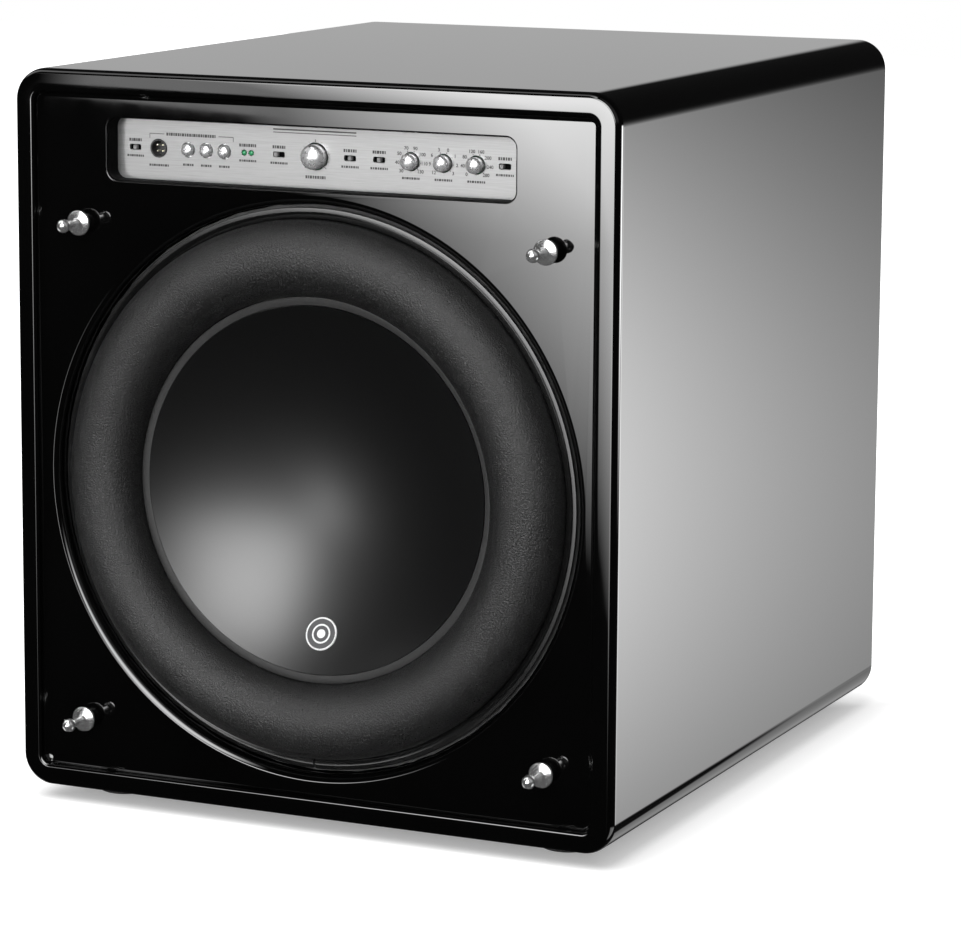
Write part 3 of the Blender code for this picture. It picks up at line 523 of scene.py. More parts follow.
def make_baffle():
    """The recessed front: a flat polished face with a cove at its border, and its openings."""
    back = 38 * MM
    seat_depth = 22.4 * MM
    throat = 166 * MM
    fit = 0.3 * MM
    joint = 0.05 * MM
    start_rise = COVE_RISE * math.cos(math.radians(COVE_START))
    outline = arc((COVE_WIDTH + joint, BAFFLE_DEPTH - start_rise), (COVE_WIDTH, COVE_RISE),
                  270 - COVE_START, 180, 20)
    cove = inset_rings(outline + [(fit, back)], (WIDTH - 2 * RIM_WIDTH, HEIGHT - 2 * RIM_WIDTH),
                       EDGE_RADIUS - RIM_WIDTH + fit, CABINET_CENTRE, CORNER_STEPS)

    profile = arc((OPENING_RADIUS + OPENING_ROUND, BAFFLE_DEPTH + OPENING_ROUND),
                  (OPENING_ROUND, OPENING_ROUND), 90, 180, 20)
    profile += [(OPENING_RADIUS, seat_depth), (throat, seat_depth), (throat, back)]
    opening = [circle(radius, depth, DRIVER, ROUND_STEPS) for radius, depth in profile]

    edge = 0.9 * MM
    rebate = 5.5 * MM
    outline = arc((-edge, BAFFLE_DEPTH + edge), (edge, edge), 90, 0, 16) + [(0, PLATE_DEPTH)]
    window = inset_rings(outline, WINDOW_SIZE, WINDOW_RADIUS, WINDOW_CENTRE, WINDOW_STEPS)
    window += walls((PLATE_DEPTH, back), [length + 2 * rebate for length in WINDOW_SIZE], WINDOW_RADIUS,
                    WINDOW_CENTRE, WINDOW_STEPS)
    borders = [cove, opening, window]
    for _, centre in peg_centres():
        borders.append(hole_border(3 * MM, BAFFLE_DEPTH, back, centre, 24, 0.3 * MM))
    baffle = panel("baffle", borders, "black_lacquer", sharp=8)
    seat(baffle, "cabinet", "black_lacquer", "front_baffle")


def make_window_lining():
    """A near-black sleeve with almost no gloss over the window's walls: painted shade in the recess round
    the plate.
    """
    outer = 0.02 * MM
    inner = 0.3 * MM
    front = BAFFLE_DEPTH + 1.1 * MM
    back = PLATE_DEPTH - 0.05 * MM
    outline = ((outer, front), (inner, front), (inner, back), (outer, back))
    rings = inset_rings(outline, WINDOW_SIZE, WINDOW_RADIUS, WINDOW_CENTRE, WINDOW_STEPS)
    lining = loft("window_shade_sleeve", rings, "black_and_painted_shade", closed_path=True)
    seat(lining, "cabinet", "black_lacquer")


def make_pegs():
    """Turned chrome pegs: a ball end on a neck, a dished collar and a shank."""
    ball = 4.3 * MM
    for name, centre in peg_centres():
        tip, end = node_depths(name)
        profile = [(0, tip)] + arc((0, tip + ball), (ball, ball), 84, -48, 14)
        profile += section(tip, (2.5, 9.5)) + section(0, (2.5, -5.5))
        profile += arc((4.4 * MM, -5.2 * MM), (1.9 * MM, 2.2 * MM), 180, 250, 5)
        profile += section(0, (6.8, -2.3))
        profile += arc((7.1 * MM, -1.1 * MM), (1 * MM, 1.1 * MM), 90, -90, 8)
        profile += section(0, (4.6, 0.4), (3.6, 1.6)) + section(BAFFLE_DEPTH, (3.6, -0.1), (2.5, -0.1))
        profile += section(end, (2.5, 0), (0, 0))
        peg = turn(f"{name}_turned", profile, centre, "peg_chrome", 48)
        seat(peg, "cabinet", "peg_chrome", name)


def make_feet():
    """Rubber feet with a moulded groove, each held by a screw in its recess."""
    foot_round = 1.4 * MM

    def from_rim(rim, *points):
        """(radius, height) points in millimetres, counted inward from a rim."""
        return [(rim - inset * MM, up * MM) for inset, up in points]

    for node in [f"foot_{level}_{side}" for level in ("front", "rear") for side in ("left", "right")]:
        low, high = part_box(node)
        middle = (low + high) / 2
        radius = node_radius(node)
        profile = [(0, high.z), (radius, high.z)]
        profile += from_rim(radius, (0.3, 6.5), (1, 6), (1, 5.2), (0.4, 4.7), (1, 1.4))
        profile += arc((radius - 2.4 * MM, foot_round), (foot_round, foot_round), 15, 90, 5)
        profile += from_rim(radius, (7, 0), (7.6, 0.5), (8.6, 0.5), (9.2, 0))
        profile += section(0, (6, 0), (5, 4), (0, 4))
        place = Matrix.Translation((middle.x, middle.y, 0))
        foot = turn_on(f"{node}_moulded", place, profile, "foot_rubber", 64)
        seat(foot, "cabinet", "foot_rubber", node)


# ---------------------------------------------------------------- driver

TRIM_INNER = 172.5 * MM
TRIM_OUTER = 179.5 * MM
TRIM_SPLIT = 1.2 * MM             # width of the gap at the bottom


def split_ring(name, profile, finish):
    """A ring about the driver's axis with a narrow split at the bottom."""
    split = math.degrees(TRIM_SPLIT / 2 / TRIM_INNER)
    start = -90 + split
    end = 270 - split
    rings = [circle(radius, depth, DRIVER, ROUND_STEPS, start, end) for radius, depth in profile]
    form = bmesh.new()
    made = bridge(form, rings, closed_rings=False, closed_path=True)
    form.faces.new([ring[0] for ring in made])
    form.faces.new([ring[-1] for ring in reversed(made)])
    return add_piece(name, form, finish, sharp=14)


def make_trim():
    """The split gloss ring round the surround, with a cut bevel on its inner edge."""
    low, high = node_depths("trim_ring")
    step = 176.8 * MM
    step_round = 0.3 * MM
    outer_round = 0.4 * MM
    crown = 24 * MM
    bevel = 0.8 * MM
    # The crown's face ends 8 degrees from its top; these are the sine and cosine of that.
    crown_centre = (step - step_round + 0.139 * crown, low + 0.99 * crown)
    face = arc(crown_centre, (crown, crown), 106, 98, 8)
    rise = face[0][1]
    bevel_end = rise + 0.72 * bevel
    shoulder = low + 1 * MM
    profile = [(TRIM_INNER, high), (TRIM_INNER, bevel_end)] + face
    profile += arc((step - step_round, low + step_round), (step_round, step_round), 90, 0, 6)
    profile += [(step, shoulder)]
    profile += arc((TRIM_OUTER - outer_round, shoulder + outer_round), (outer_round, outer_round), 90, 0, 4)
    profile += [(TRIM_OUTER, high)]
    seat(split_ring("trim_ring_gloss", profile, "trim_gloss"), "cabinet", "trim_gloss", "trim_ring")
    hidden = TRIM_INNER - 0.03 * MM
    cut = [(hidden, bevel_end), (TRIM_INNER + bevel, rise - 0.02 * MM),
           (TRIM_INNER + bevel, rise + 0.3 * MM), (hidden, rise + 0.9 * MM)]
    seat(split_ring("trim_ring_bevel", cut, "trim_gloss"), "cabinet", "trim_gloss")


def surround_profile():
    """The roll's section: an outer flange, the half roll, an inner flange, and its underside."""
    skin = 2.2 * MM
    foot = 15 * MM
    roll = (ROLL_CENTRE, ROLL_BASE)
    outside = ROLL_CENTRE + ROLL_RADIUS
    inside = ROLL_CENTRE - ROLL_RADIUS
    profile = [(outside, foot)] + arc(roll, (ROLL_RADIUS, ROLL_RADIUS), 0, 180, 40)
    profile += [(inside, ROLL_BASE + 2.6 * MM), (inside + skin, ROLL_BASE + 2.6 * MM)]
    profile += arc(roll, (ROLL_RADIUS - skin, ROLL_RADIUS - skin), 180, 0, 24)
    profile.append((outside - skin, foot))
    return profile


def spider_profile():
    """The spider's section: two waves between a flat inner and a flat outer edge."""
    outer = node_radius("spider")
    inner = node_radius("coil_former") + 0.1 * MM
    cloth = 1.2 * MM
    wave = 2.2 * MM
    flat = 6 * MM
    steps = 32
    front_depth, back_depth = node_depths("spider")
    middle = (front_depth + back_depth - cloth) / 2
    front = [(inner, middle)]
    for step in range(steps + 1):
        radius = inner + flat + (outer - inner - 2 * flat) * step / steps
        front.append((radius, middle + wave * math.sin(4 * math.pi * step / steps)))
    front.append((outer, middle))
    return front + [(radius, depth + cloth) for radius, depth in reversed(front)]


def make_flexing_ring(node, profile, finish):
    """A ring in sectors about the driver's axis, made in place of a CAD node, which is hidden."""
    sector = 360 / SECTORS
    steps = ROUND_STEPS // SECTORS
    for index in range(SECTORS):
        start = index * sector
        rings = [circle(radius, depth, DRIVER, steps, start, start + sector) for radius, depth in profile]
        form = bmesh.new()
        bridge(form, rings, closed_rings=False, closed_path=True)
        piece = add_piece(f"{node}_sector_{index + 1:02d}", form, finish, sharp=50, even=False)
        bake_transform(piece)
        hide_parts(node)


def make_surround():
    """The rubber roll between the frame and the cone."""
    make_flexing_ring("surround", surround_profile(), "surround_rubber")


def make_spider():
    """The corrugated cloth between the frame and the coil."""
    make_flexing_ring("spider", spider_profile(), "spider_cloth")


def dish_depth(radius):
    """Depth of the dish at a radius."""
    return DISH_BOTTOM - DISH_SPHERE + math.sqrt(DISH_SPHERE**2 - radius**2)


def make_cone():
    """The dished cone, and the band glued round it over the surround's edge."""
    back = node_depths("cone")[1]
    lip = ROLL_BASE + 3 * MM
    rim = [DISH_RADIUS * step / 40 for step in range(41)]
    profile = [(radius, dish_depth(radius)) for radius in rim]
    profile += [(DISH_RADIUS, lip), (126 * MM, lip), (126 * MM, lip + 3 * MM), (113 * MM, lip + 3.4 * MM)]
    profile += [(radius, min(dish_depth(radius) + 3 * MM, back)) for radius in reversed(rim[:-4])]
    cone = turn("cone_dish", profile, DRIVER, "cone_satin", ROUND_STEPS, sharp=30)
    seat(cone, "moving_cone", "cone_satin", "cone")

    inner = 118.1 * MM
    outer = 123.7 * MM
    low, high = node_depths("cone_band")
    edge = 0.5 * MM
    profile = [(inner, high), (inner, low + 1.2 * MM)]
    profile += arc((inner + edge, low + edge + 0.3 * MM), (edge, edge), 180, 100, 5)
    profile += [(inner + 2.4 * MM, low), (outer - 1.4 * MM, low)]
    profile += arc((outer - edge, low + edge + 0.1 * MM), (edge, edge), 100, 0, 5)
    profile += [(outer, high)]
    band = turn("cone_band_ring", profile, DRIVER, "band_satin", ROUND_STEPS, closed=True, sharp=50)
    seat(band, "moving_cone", "band_satin", "cone_band")


def make_badge():
    """A round badge: a bright rim and a plain motif of two nested rings on a dark field."""
    low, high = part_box("badge")
    centre = (low + high) / 2
    tilt = math.asin((DRIVER[1] - centre.z) / DISH_SPHERE)
    place = Matrix.Translation(centre) @ Matrix.Rotation(math.pi / 2 - tilt, 4, "X")

    # Millimetres: half the width, half the thickness, and the level that the motif stands on.
    radius = 10.8
    face = 0.6
    field = face - 0.2

    def disc(name, profile, finish, *nodes):
        made = turn_on(name, place, section(0, *profile), finish, 96)
        seat(made, "moving_cone", "badge_silver", *nodes)

    disc("badge_rim", [(0, -face), (radius, -face), (radius, face - 0.3), (radius - 0.3, face),
                       (radius - 0.9, face), (radius - 1.1, face - 0.25), (0, face - 0.25)],
         "badge_silver", "badge")
    disc("badge_field", [(0, field), (radius - 1.1, field), (radius - 1.1, face - 0.3), (0, face - 0.3)],
         "badge_field")
    disc("badge_motif_1", [(5.2, field), (6.4, field), (6.3, face), (5.3, face)], "badge_silver")
    disc("badge_motif_2", [(0, field), (2.9, field), (2.8, face), (0.1, face)], "badge_silver")


# ---------------------------------------------------------------- control strip

SMALL_KNOBS = ("low_pass_knob", "trim_knob", "phase_knob")
BUTTONS = ("first_button", "second_button", "third_button")
LAMPS = ("signal_lamp", "mode_lamp")
FRONT_SLIDES = ("power_slide", "level_slide", "lights_slide", "filter_slide", "polarity_slide")
REAR_SLIDES = ("input_mode_slide", "ground_slide")
TWO_POSITION = ("level_slide", "polarity_slide", *REAR_SLIDES)
SLOT_SIZE = (8 * MM, 3.4 * MM)
SLOT_RADIUS = 0.9 * MM


def slot_centre(node):
    """The middle of a slide switch's slot; one of two positions starts at the slot's left."""
    x, z = node_middle(node)
    return (x + (2 * MM if node in TWO_POSITION else 0), z)


def make_control_plate():
    """The brushed plate with its holes."""
    front, back = node_depths("control_plate")
    chamfer = 0.15 * MM
    borders = [walls((front, back), node_size("control_plate"), 3 * MM, WINDOW_CENTRE, 6)]
    for node in ("master_knob", *SMALL_KNOBS):
        borders.append(hole_border(node_radius(node) + 0.7 * MM, front, back, node_middle(node)))
    for node in BUTTONS:
        borders.append(hole_border(4.8 * MM, front, back, node_middle(node)))
    for node in LAMPS:
        borders.append(hole_border(1.8 * MM, front, back, node_middle(node), 24))
    borders.append(hole_border(5.5 * MM, front, back, node_middle("microphone_jack")))
    for node in FRONT_SLIDES:
        outline = ((-chamfer, front), (0, front + chamfer), (0, back))
        borders.append(inset_rings(outline, SLOT_SIZE, SLOT_RADIUS, slot_centre(node), 4))
    plate = panel("control_plate_brushed", borders, "brushed_aluminium", sharp=30)
    seat(plate, "cabinet", "brushed_aluminium", "control_plate")


def make_knobs():
    """Domed satin knobs on a short straight skirt."""
    skirt = PLATE_DEPTH + 2.5 * MM
    for node in ("master_knob", *SMALL_KNOBS):
        front, back = node_depths(node)
        radius = node_radius(node)
        dome = radius * 0.62
        profile = [(0, front)] + arc((0, front + dome), (radius, dome), 84, 0, 14)
        profile += [(radius, skirt), (3 * MM, skirt), (3 * MM, back), (0, back)]
        knob = turn(f"{node}_domed", profile, node_middle(node), "knob_silver", 72)
        seat(knob, node, "knob_silver", node)


def make_buttons():
    """Domed buttons with a small dimple."""
    radius = 4.2 * MM
    dome = 2.2 * MM
    for node in BUTTONS:
        front, back = node_depths(node)
        profile = section(front, (0, 0.55), (0.5, 0.5), (0.85, 0.2), (1.1, 0.02))
        profile += arc((0, front + dome - 0.15 * MM), (radius, dome), 66, 0, 11)
        profile += section(back, (4.2, -1.2), (5.4, -1.2), (5.4, 0), (0, 0))
        button = turn(f"{node}_domed", profile, node_middle(node), "knob_silver", 48)
        seat(button, node, "knob_silver", node)


def make_slides():
    """Slide switches: a thumb with three grip ribs on a base that covers the slot."""
    for node in (*FRONT_SLIDES, *REAR_SLIDES):
        x, z = node_middle(node)
        front, back = node_depths(node)
        # The rear slides face the other way, so that a millimetre inward is toward the front.
        face, base, inward = (back, front, -1 * MM) if node in REAR_SLIDES else (front, back, 1 * MM)
        base_face = base - 1.5 * inward
        # The base is black plastic, darkened further so that the slot shows painted shade.
        rings = walls((base, base_face), node_size(node), 0.3 * MM, (x, z), 3)
        seat(loft(f"{node}_base", rings, "black_and_painted_shade", caps=True), node, "black_plastic", node)
        sizes = ((2.2, 2.6, base_face), (2.2, 2.6, face + 0.3 * inward), (1.7, 2.1, face))
        rings = [rounded(width * MM, height * MM, 0.3 * MM, depth, (x, z), 3)
                 for width, height, depth in sizes]
        thumb = [loft(f"{node}_thumb", rings, "thumb_grey", caps=True)]
        for offset in (-0.5 * MM, 0, 0.5 * MM):
            rings = walls((face + 0.1 * inward, face - 0.15 * inward), (0.2 * MM, 1.8 * MM), 0.08 * MM,
                          (x + offset, z), 2)
            thumb.append(loft("rib", rings, "thumb_grey", caps=True))
        seat(join_pieces(f"{node}_ribbed", thumb), node, "black_plastic")


def make_jack():
    """The microphone socket: a black collar, a deep well and four contacts round it."""
    node = "microphone_jack"
    centre = node_middle(node)
    front, back = node_depths(node)
    radius = node_radius(node)
    seat_depth = PLATE_DEPTH - 0.02 * MM
    profile = section(back, (0, -1.2), (4.6, -1.2)) + section(front, (4.6, 0.4), (5, 0), (5.6, 0))
    profile += [(radius, front + 0.3 * MM), (radius, seat_depth)]
    profile += section(seat_depth, (5.2, 0)) + section(back, (5.2, 0), (0, 0))
    jack = turn("microphone_jack_collar", profile, centre, "black_plastic", 64)
    seat(jack, "cabinet", "black_plastic", node)
    pin = section(front, (0, 2), (0.45, 2.2), (0.55, 2.6)) + section(back, (0.55, -1.4), (0, -1.4))
    pins = [turn("pin", pin, around(centre, 2.7 * MM, turned), "contact_metal", 16)
            for turned in (45, 135, 225, 315)]
    seat(join_pieces("microphone_jack_contacts", pins), "cabinet", "black_plastic")


def make_lamps():
    """Two small domed lamp lenses."""
    radius = 1.5 * MM
    dome = 0.9 * MM
    for node in LAMPS:
        front, back = node_depths(node)
        profile = [(0, front)] + arc((0, front + dome), (radius, dome), 80, 0, 8)
        profile += [(radius, back), (0, back)]
        lamp = turn(f"{node}_lens", profile, node_middle(node), "lamp_green", 32)
        seat(lamp, "cabinet", "lamp_green", node)


PRINT_FRONT = PLATE_DEPTH - 0.03 * MM
PRINT_BACK = PLATE_DEPTH + 0.01 * MM


def print_bar(x, z, width, height, turned=0.0):
    """A printed bar on the control plate."""
    rotation = Matrix.Rotation(math.radians(turned), 4, "Y")
    corners = []
    for depth in (PRINT_FRONT, PRINT_BACK):
        for side_x, side_z in ((-1, -1), (1, -1), (1, 1), (-1, 1)):
            offset = rotation @ Vector((side_x * width / 2, 0, side_z * height / 2))
            corners.append(Vector((x, RIM_Y + depth, z)) + offset)
    form = bmesh.new()
    for ring in bridge(form, [corners[:4], corners[4:]]):
        form.faces.new(ring)
    return add_piece("bar", form, "ink", even=False)


def print_number(text, x, z, size):
    """A printed number, made flat from an outline font."""
    curve = bpy.data.curves.new("number", "FONT")
    curve.body = text
    curve.size = size
    curve.align_x = "CENTER"
    curve.align_y = "CENTER"
    curve.extrude = 0.03 * MM
    curve.offset = 0.08 * MM
    curve.resolution_u = 3
    writer = bpy.data.objects.new("number", curve)
    bpy.context.scene.collection.objects.link(writer)
    bpy.context.view_layer.update()
    mesh = bpy.data.meshes.new_from_object(writer.evaluated_get(bpy.context.evaluated_depsgraph_get()))
    bpy.data.objects.remove(writer)
    facing_front = Matrix.Rotation(math.pi / 2, 4, "X")
    mesh.transform(Matrix.Translation((x, RIM_Y + PLATE_DEPTH, z)) @ facing_front)
    mesh.materials.clear()
    mesh.materials.append(FINISHES["ink"])
    thing = bpy.data.objects.new("number", mesh)
    bpy.context.scene.collection.objects.link(thing)
    return thing


DIALS = {
    "low_pass_knob": (30, 40, 50, 70, 90, 100, 110, 130),
    "trim_knob": (12, 9, 6, 3, 0, 1, 2, 3),
    "phase_knob": (0, 40, 80, 120, 160, 200, 240, 280),
}
DIAL_START = 225                  # degrees, at the lower left
DIAL_SWEEP = 270


def dial_marks():
    """Ticks and numbers round the small knobs, and the ticks of the large one's scale."""
    marks = []
    for node, numbers in DIALS.items():
        centre = node_middle(node)
        tick = node_radius(node) + 1.5 * MM
        reach = node_radius(node) + 3.5 * MM
        for index, number in enumerate(numbers):
            turned = DIAL_START - DIAL_SWEEP * index / (len(numbers) - 1)
            marks.append(print_bar(*around(centre, tick, turned), 0.9 * MM, 0.5 * MM, -turned))
            x, z = around(centre, reach, turned)
            outward = 0.08 * (x - centre[0])      # room for the longer numbers at the sides
            marks.append(print_number(str(number), x + outward, z, 3 * MM))
    reach = node_radius("master_knob") + 1.9 * MM
    long_ticks = (DIAL_START - DIAL_SWEEP, DIAL_START - DIAL_SWEEP / 2, DIAL_START)
    for turned in range(DIAL_START - DIAL_SWEEP, DIAL_START + 1, DIAL_SWEEP // 10):
        size = (1.7 * MM, 0.45 * MM) if turned in long_ticks else (0.8 * MM, 0.25 * MM)
        marks.append(print_bar(*around(node_middle("master_knob"), reach, turned), *size, -turned))
    return marks


def caption(x, z, width, height):
    """A row of plain dashes where the real plate has a word."""
    dashes = (1.3 * MM, 0.8 * MM, 1.7 * MM, 1 * MM, 1.4 * MM)
    gap = 0.4 * MM
    shortest = 0.6 * MM
    marks = []
    start = x - width / 2
    end = x + width / 2
    while start < end - shortest:
        dash = min(dashes[len(marks) % len(dashes)], end - start)
        marks.append(print_bar(start + dash / 2, z, dash, height))
        start += dash + gap
    return marks


def captions():
    """Rows of dashes round the controls."""
    bold = 1.9 * MM
    fine = 1.4 * MM
    first, second = (node_middle(node) for node in LAMPS)
    lamps = ((first[0] + second[0]) / 2, first[1])
    rows = []
    for node in FRONT_SLIDES:
        rows += [(slot_centre(node), 4.7, 9, bold), (slot_centre(node), -5.4, 12, fine)]
    rows += [(node_middle(node), -9.6, 7.5, fine) for node in BUTTONS]
    rows += [
        (node_middle("microphone_jack"), -10.8, 14, fine),
        (lamps, 4.7, 12, bold),
        (lamps, -5, 12, fine),
        (node_middle("master_knob"), -13, 14, bold),
    ]
    rows += [(node_middle(node), -10.4, 12, fine) for node in SMALL_KNOBS]
    marks = []
    for (x, z), rise, width, height in rows:
        marks += caption(x, z + rise * MM, width * MM, height)
    return marks


def group_bracket():
    """A fine bracket over the socket and the buttons that belong to it."""
    left = node_middle("microphone_jack")[0] - 6.5 * MM
    right = node_middle("third_button")[0] + 6.5 * MM
    top = node_middle("first_button")[1] + 9.2 * MM
    line = 0.4 * MM
    words = 36 * MM
    gap = words + 3 * MM
    middle = (left + right) / 2
    side = (right - left - gap) / 2
    return [
        print_bar(left + side / 2, top, side, line),
        print_bar(right - side / 2, top, side, line),
        print_bar(left, top - 1.4 * MM, line, 3 * MM),
        print_bar(right, top - 1.4 * MM, line, 3 * MM),
        *caption(middle, top, words, 1.9 * MM),
    ]


def make_print():
    """All the ink on the control plate, with a plain double line where a name would be."""
    marks = dial_marks() + captions() + group_bracket()
    x = node_middle("master_knob")[0]
    top = WINDOW_CENTRE[1] + WINDOW_SIZE[1] / 2 - 3.6 * MM
    marks.append(print_bar(x - 0.6 * MM, top, 58 * MM, 0.9 * MM))
    marks.append(print_bar(x - 0.6 * MM, top - 1.9 * MM, 58 * MM, 0.5 * MM))
    seat(join_pieces("control_plate_print", marks), "cabinet", "black_plastic")


# ---------------------------------------------------------------- back

BALANCED_INPUTS = ("balanced_input_left", "balanced_input_right")
LINE_OFFSETS = (-8 * MM, 8 * MM)


def make_amp_plate():
    """The amplifier's plate, with its openings and a row of cooling slots."""
    front, back = node_depths("amp_plate")
    through = (front, back)
    centre = node_middle("amp_plate")
    chamfer = 0.4 * MM
    edge = inset_rings([(0, front), (0, back - chamfer), (chamfer, back)], node_size("amp_plate"), 6 * MM,
                       centre, 10)
    borders = [edge]
    for node in BALANCED_INPUTS:
        borders.append([circle(10.8 * MM, depth, node_middle(node), 48) for depth in through])
    for node in REAR_SLIDES:
        borders.append(walls(through, SLOT_SIZE, SLOT_RADIUS, slot_centre(node), 4))
    x, z = node_middle("line_input")
    for offset in LINE_OFFSETS:
        borders.append([circle(4.5 * MM, depth, (x + offset, z), 32) for depth in through])
    borders.append(walls(through, (27.6 * MM, 20.6 * MM), 0.5 * MM, node_middle("power_inlet"), 3))
    for column in range(-7, 8):
        place = (centre[0] + column * 9 * MM - 8 * MM, centre[1] - 4 * MM)
        borders.append(walls(through, (3 * MM, 34 * MM), 1.45 * MM, place, 6))
    plate = panel("amp_plate_anodised", borders, "amp_plate_black", sharp=30)
    seat(plate, "cabinet", "amp_plate_black", "amp_plate")


def make_amp_screws():
    """Countersunk screws round the plate, each with a cross recess."""
    back = node_depths("amp_plate")[1]
    low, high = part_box("amp_plate")
    inset = 8 * MM
    left, right = low.x + inset, high.x - inset
    bottom, top = low.z + inset, high.z - inset
    places = []
    for step in range(5):
        x = left + (right - left) * step / 4
        places += [(x, bottom), (x, top)]
    for step in (1, 2, 3):
        z = bottom + (top - bottom) * step / 4
        places += [(left, z), (right, z)]
    profile = section(back, (0, 0.7), (1.6, 0.75), (3, 0.45), (3.6, 0.02), (3.6, -0.4), (0, -0.4))
    recess = (back + 0.5 * MM, back + 0.78 * MM)
    screws = []
    for place in places:
        screws.append(turn("head", profile, place, "screw_black", 32))
        for size in ((3.4 * MM, 0.7 * MM), (0.7 * MM, 3.4 * MM)):
            screws.append(loft("recess", walls(recess, size, 0.2 * MM, place, 2), "foam", caps=True))
    seat(join_pieces("amp_plate_screws", screws), "cabinet", "bolt_steel")


def make_balanced_inputs():
    """Balanced inputs with three contacts and two rivets each."""
    plate_back = node_depths("amp_plate")[1]
    floor = 464 * MM
    pin = section(0, (0, 474), (1, 473.4), (1.2, 472.6)) + section(floor, (1.2, -0.2), (0, -0.2))
    for node in BALANCED_INPUTS:
        x, z = node_middle(node)
        front, back = node_depths(node)
        profile = section(floor, (0, 0), (8, 0)) + section(back, (8, -0.5), (8.5, 0), (12.4, 0), (13, -0.6))
        profile += section(plate_back, (13, 0.02), (10.4, 0.02)) + section(front, (10.4, 0), (0, 0))
        socket = turn(f"{node}_socket", profile, (x, z), "black_plastic", 64)
        fittings = [turn("pin", pin, around((x, z), 4.2 * MM, turned), "contact_metal", 20)
                    for turned in (90, 210, 330)]
        rivet = section(back, (0, 0.5), (1.1, 0.35), (1.4, 0), (1.4, -0.2), (0, -0.2))
        for side in (-1, 1):
            place = (x + side * 9.108 * MM, z + side * 5.6 * MM)
            fittings.append(turn("rivet", rivet, place, "screw_black", 20))
        seat(socket, "cabinet", "black_plastic", node)
        seat(join_pieces(f"{node}_contacts", fittings), "cabinet", "plated_steel")


def make_line_inputs():
    """A pair of line inputs on one block, each a collar round a metal shield."""
    plate_back = node_depths("amp_plate")[1]
    x, z = node_middle("line_input")
    front, back = node_depths("line_input")
    collar = section(plate_back, (4.1, -4), (4.1, 0.1), (5.6, 0.1), (5.6, 1.1), (5.2, 1.4), (3.9, 1.4),
                     (3.9, -4))
    shield = section(plate_back, (3.95, -2)) + section(back, (3.95, -0.4), (3.6, 0), (3.1, 0), (3, -0.4))
    shield += section(plate_back, (3, -2))
    core = section(back, (0, -1), (0.7, -1), (1, -0.6), (2.9, -0.6)) + section(plate_back, (2.9, 0), (0, 0))
    block = walls((front, front + 13.7 * MM), (32 * MM, 12 * MM), 0.6 * MM, (x, z), 3)
    parts = [loft("block", block, "black_plastic", caps=True)]
    shields = []
    for offset in LINE_OFFSETS:
        spot = (x + offset, z)
        parts.append(turn("collar", collar, spot, "black_plastic", 40, closed=True))
        shields.append(turn("shield", shield, spot, "contact_metal", 40, closed=True))
        parts.append(turn("core", core, spot, "black_plastic", 32))
    seat(join_pieces("line_input_block", parts), "cabinet", "black_plastic", "line_input")
    seat(join_pieces("line_input_shields", shields), "cabinet", "plated_steel")


def make_power_inlet():
    """The mains inlet, with three blades in its well."""
    flange = node_depths("amp_plate")[1] + 0.02 * MM
    centre = node_middle("power_inlet")
    front, back = node_depths("power_inlet")
    floor = 460.3 * MM
    sizes = ((27, 20, 0.6, front), (27, 20, 0.6, flange), (33, 26, 2, flange), (33, 26, 2, back - 0.4 * MM),
             (32.2, 25.2, 1.6, back), (24.4, 16.4, 2.4, back), (24, 16, 2.2, back - 0.3 * MM),
             (24, 16, 2.2, floor))
    rings = [rounded(width * MM, height * MM, radius * MM, depth, centre, 6)
             for width, height, radius, depth in sizes]
    inlet = loft("power_inlet_socket", rings, "black_plastic", caps=True)
    seat(inlet, "cabinet", "black_plastic", "power_inlet")
    blades = []
    for across, up in ((-7 * MM, -1.5 * MM), (0, 2 * MM), (7 * MM, -1.5 * MM)):
        rings = walls((floor - 0.2 * MM, 473 * MM), (2 * MM, 4 * MM), 0.4 * MM,
                      (centre[0] + across, centre[1] + up), 3)
        blades.append(loft("blade", rings, "contact_metal", caps=True))
    seat(join_pieces("power_inlet_blades", blades), "cabinet", "plated_steel")


# ---------------------------------------------------------------- studio

def finish_frame_nodes():
    """Give every CAD node that stays its finish."""
    for entry in frame["record"]["subparts"]:
        thing = frame["nodes"][entry["node"]]
        thing.data.materials.clear()
        thing.data.materials.append(FINISHES[entry["material_slot"]])
        thing.data.shade_smooth()
        thing.data.set_sharp_from_angle(angle=math.radians(35))


CAMERA_PLACE = (1.1177, -2.4235, 0.6869)
CAMERA_YAW = 25.2                 # degrees to the object's right
CAMERA_PITCH = 9.63               # degrees down
CAMERA_ROLL = 0.25
FOCAL_LENGTH = 149.46             # for the sensor's width
SENSOR_WIDTH = 36
CAMERA_SHIFT = (0.0505, -0.0499)


def make_camera():
    """The camera, a little above and to the right of the front."""
    camera = bpy.data.objects.new("camera", bpy.data.cameras.new("camera"))
    camera.data.lens = FOCAL_LENGTH
    camera.data.sensor_width = SENSOR_WIDTH
    camera.data.shift_x, camera.data.shift_y = CAMERA_SHIFT
    camera.data.clip_end = 100
    turned = (Matrix.Rotation(math.radians(CAMERA_YAW), 4, "Z")
              @ Matrix.Rotation(math.radians(90 - CAMERA_PITCH), 4, "X")
              @ Matrix.Rotation(math.radians(CAMERA_ROLL), 4, "Z"))
    camera.matrix_world = Matrix.Translation(CAMERA_PLACE) @ turned
    bpy.context.scene.collection.objects.link(camera)
    bpy.context.scene.camera = camera


WHITE = (1, 1, 1, 1)


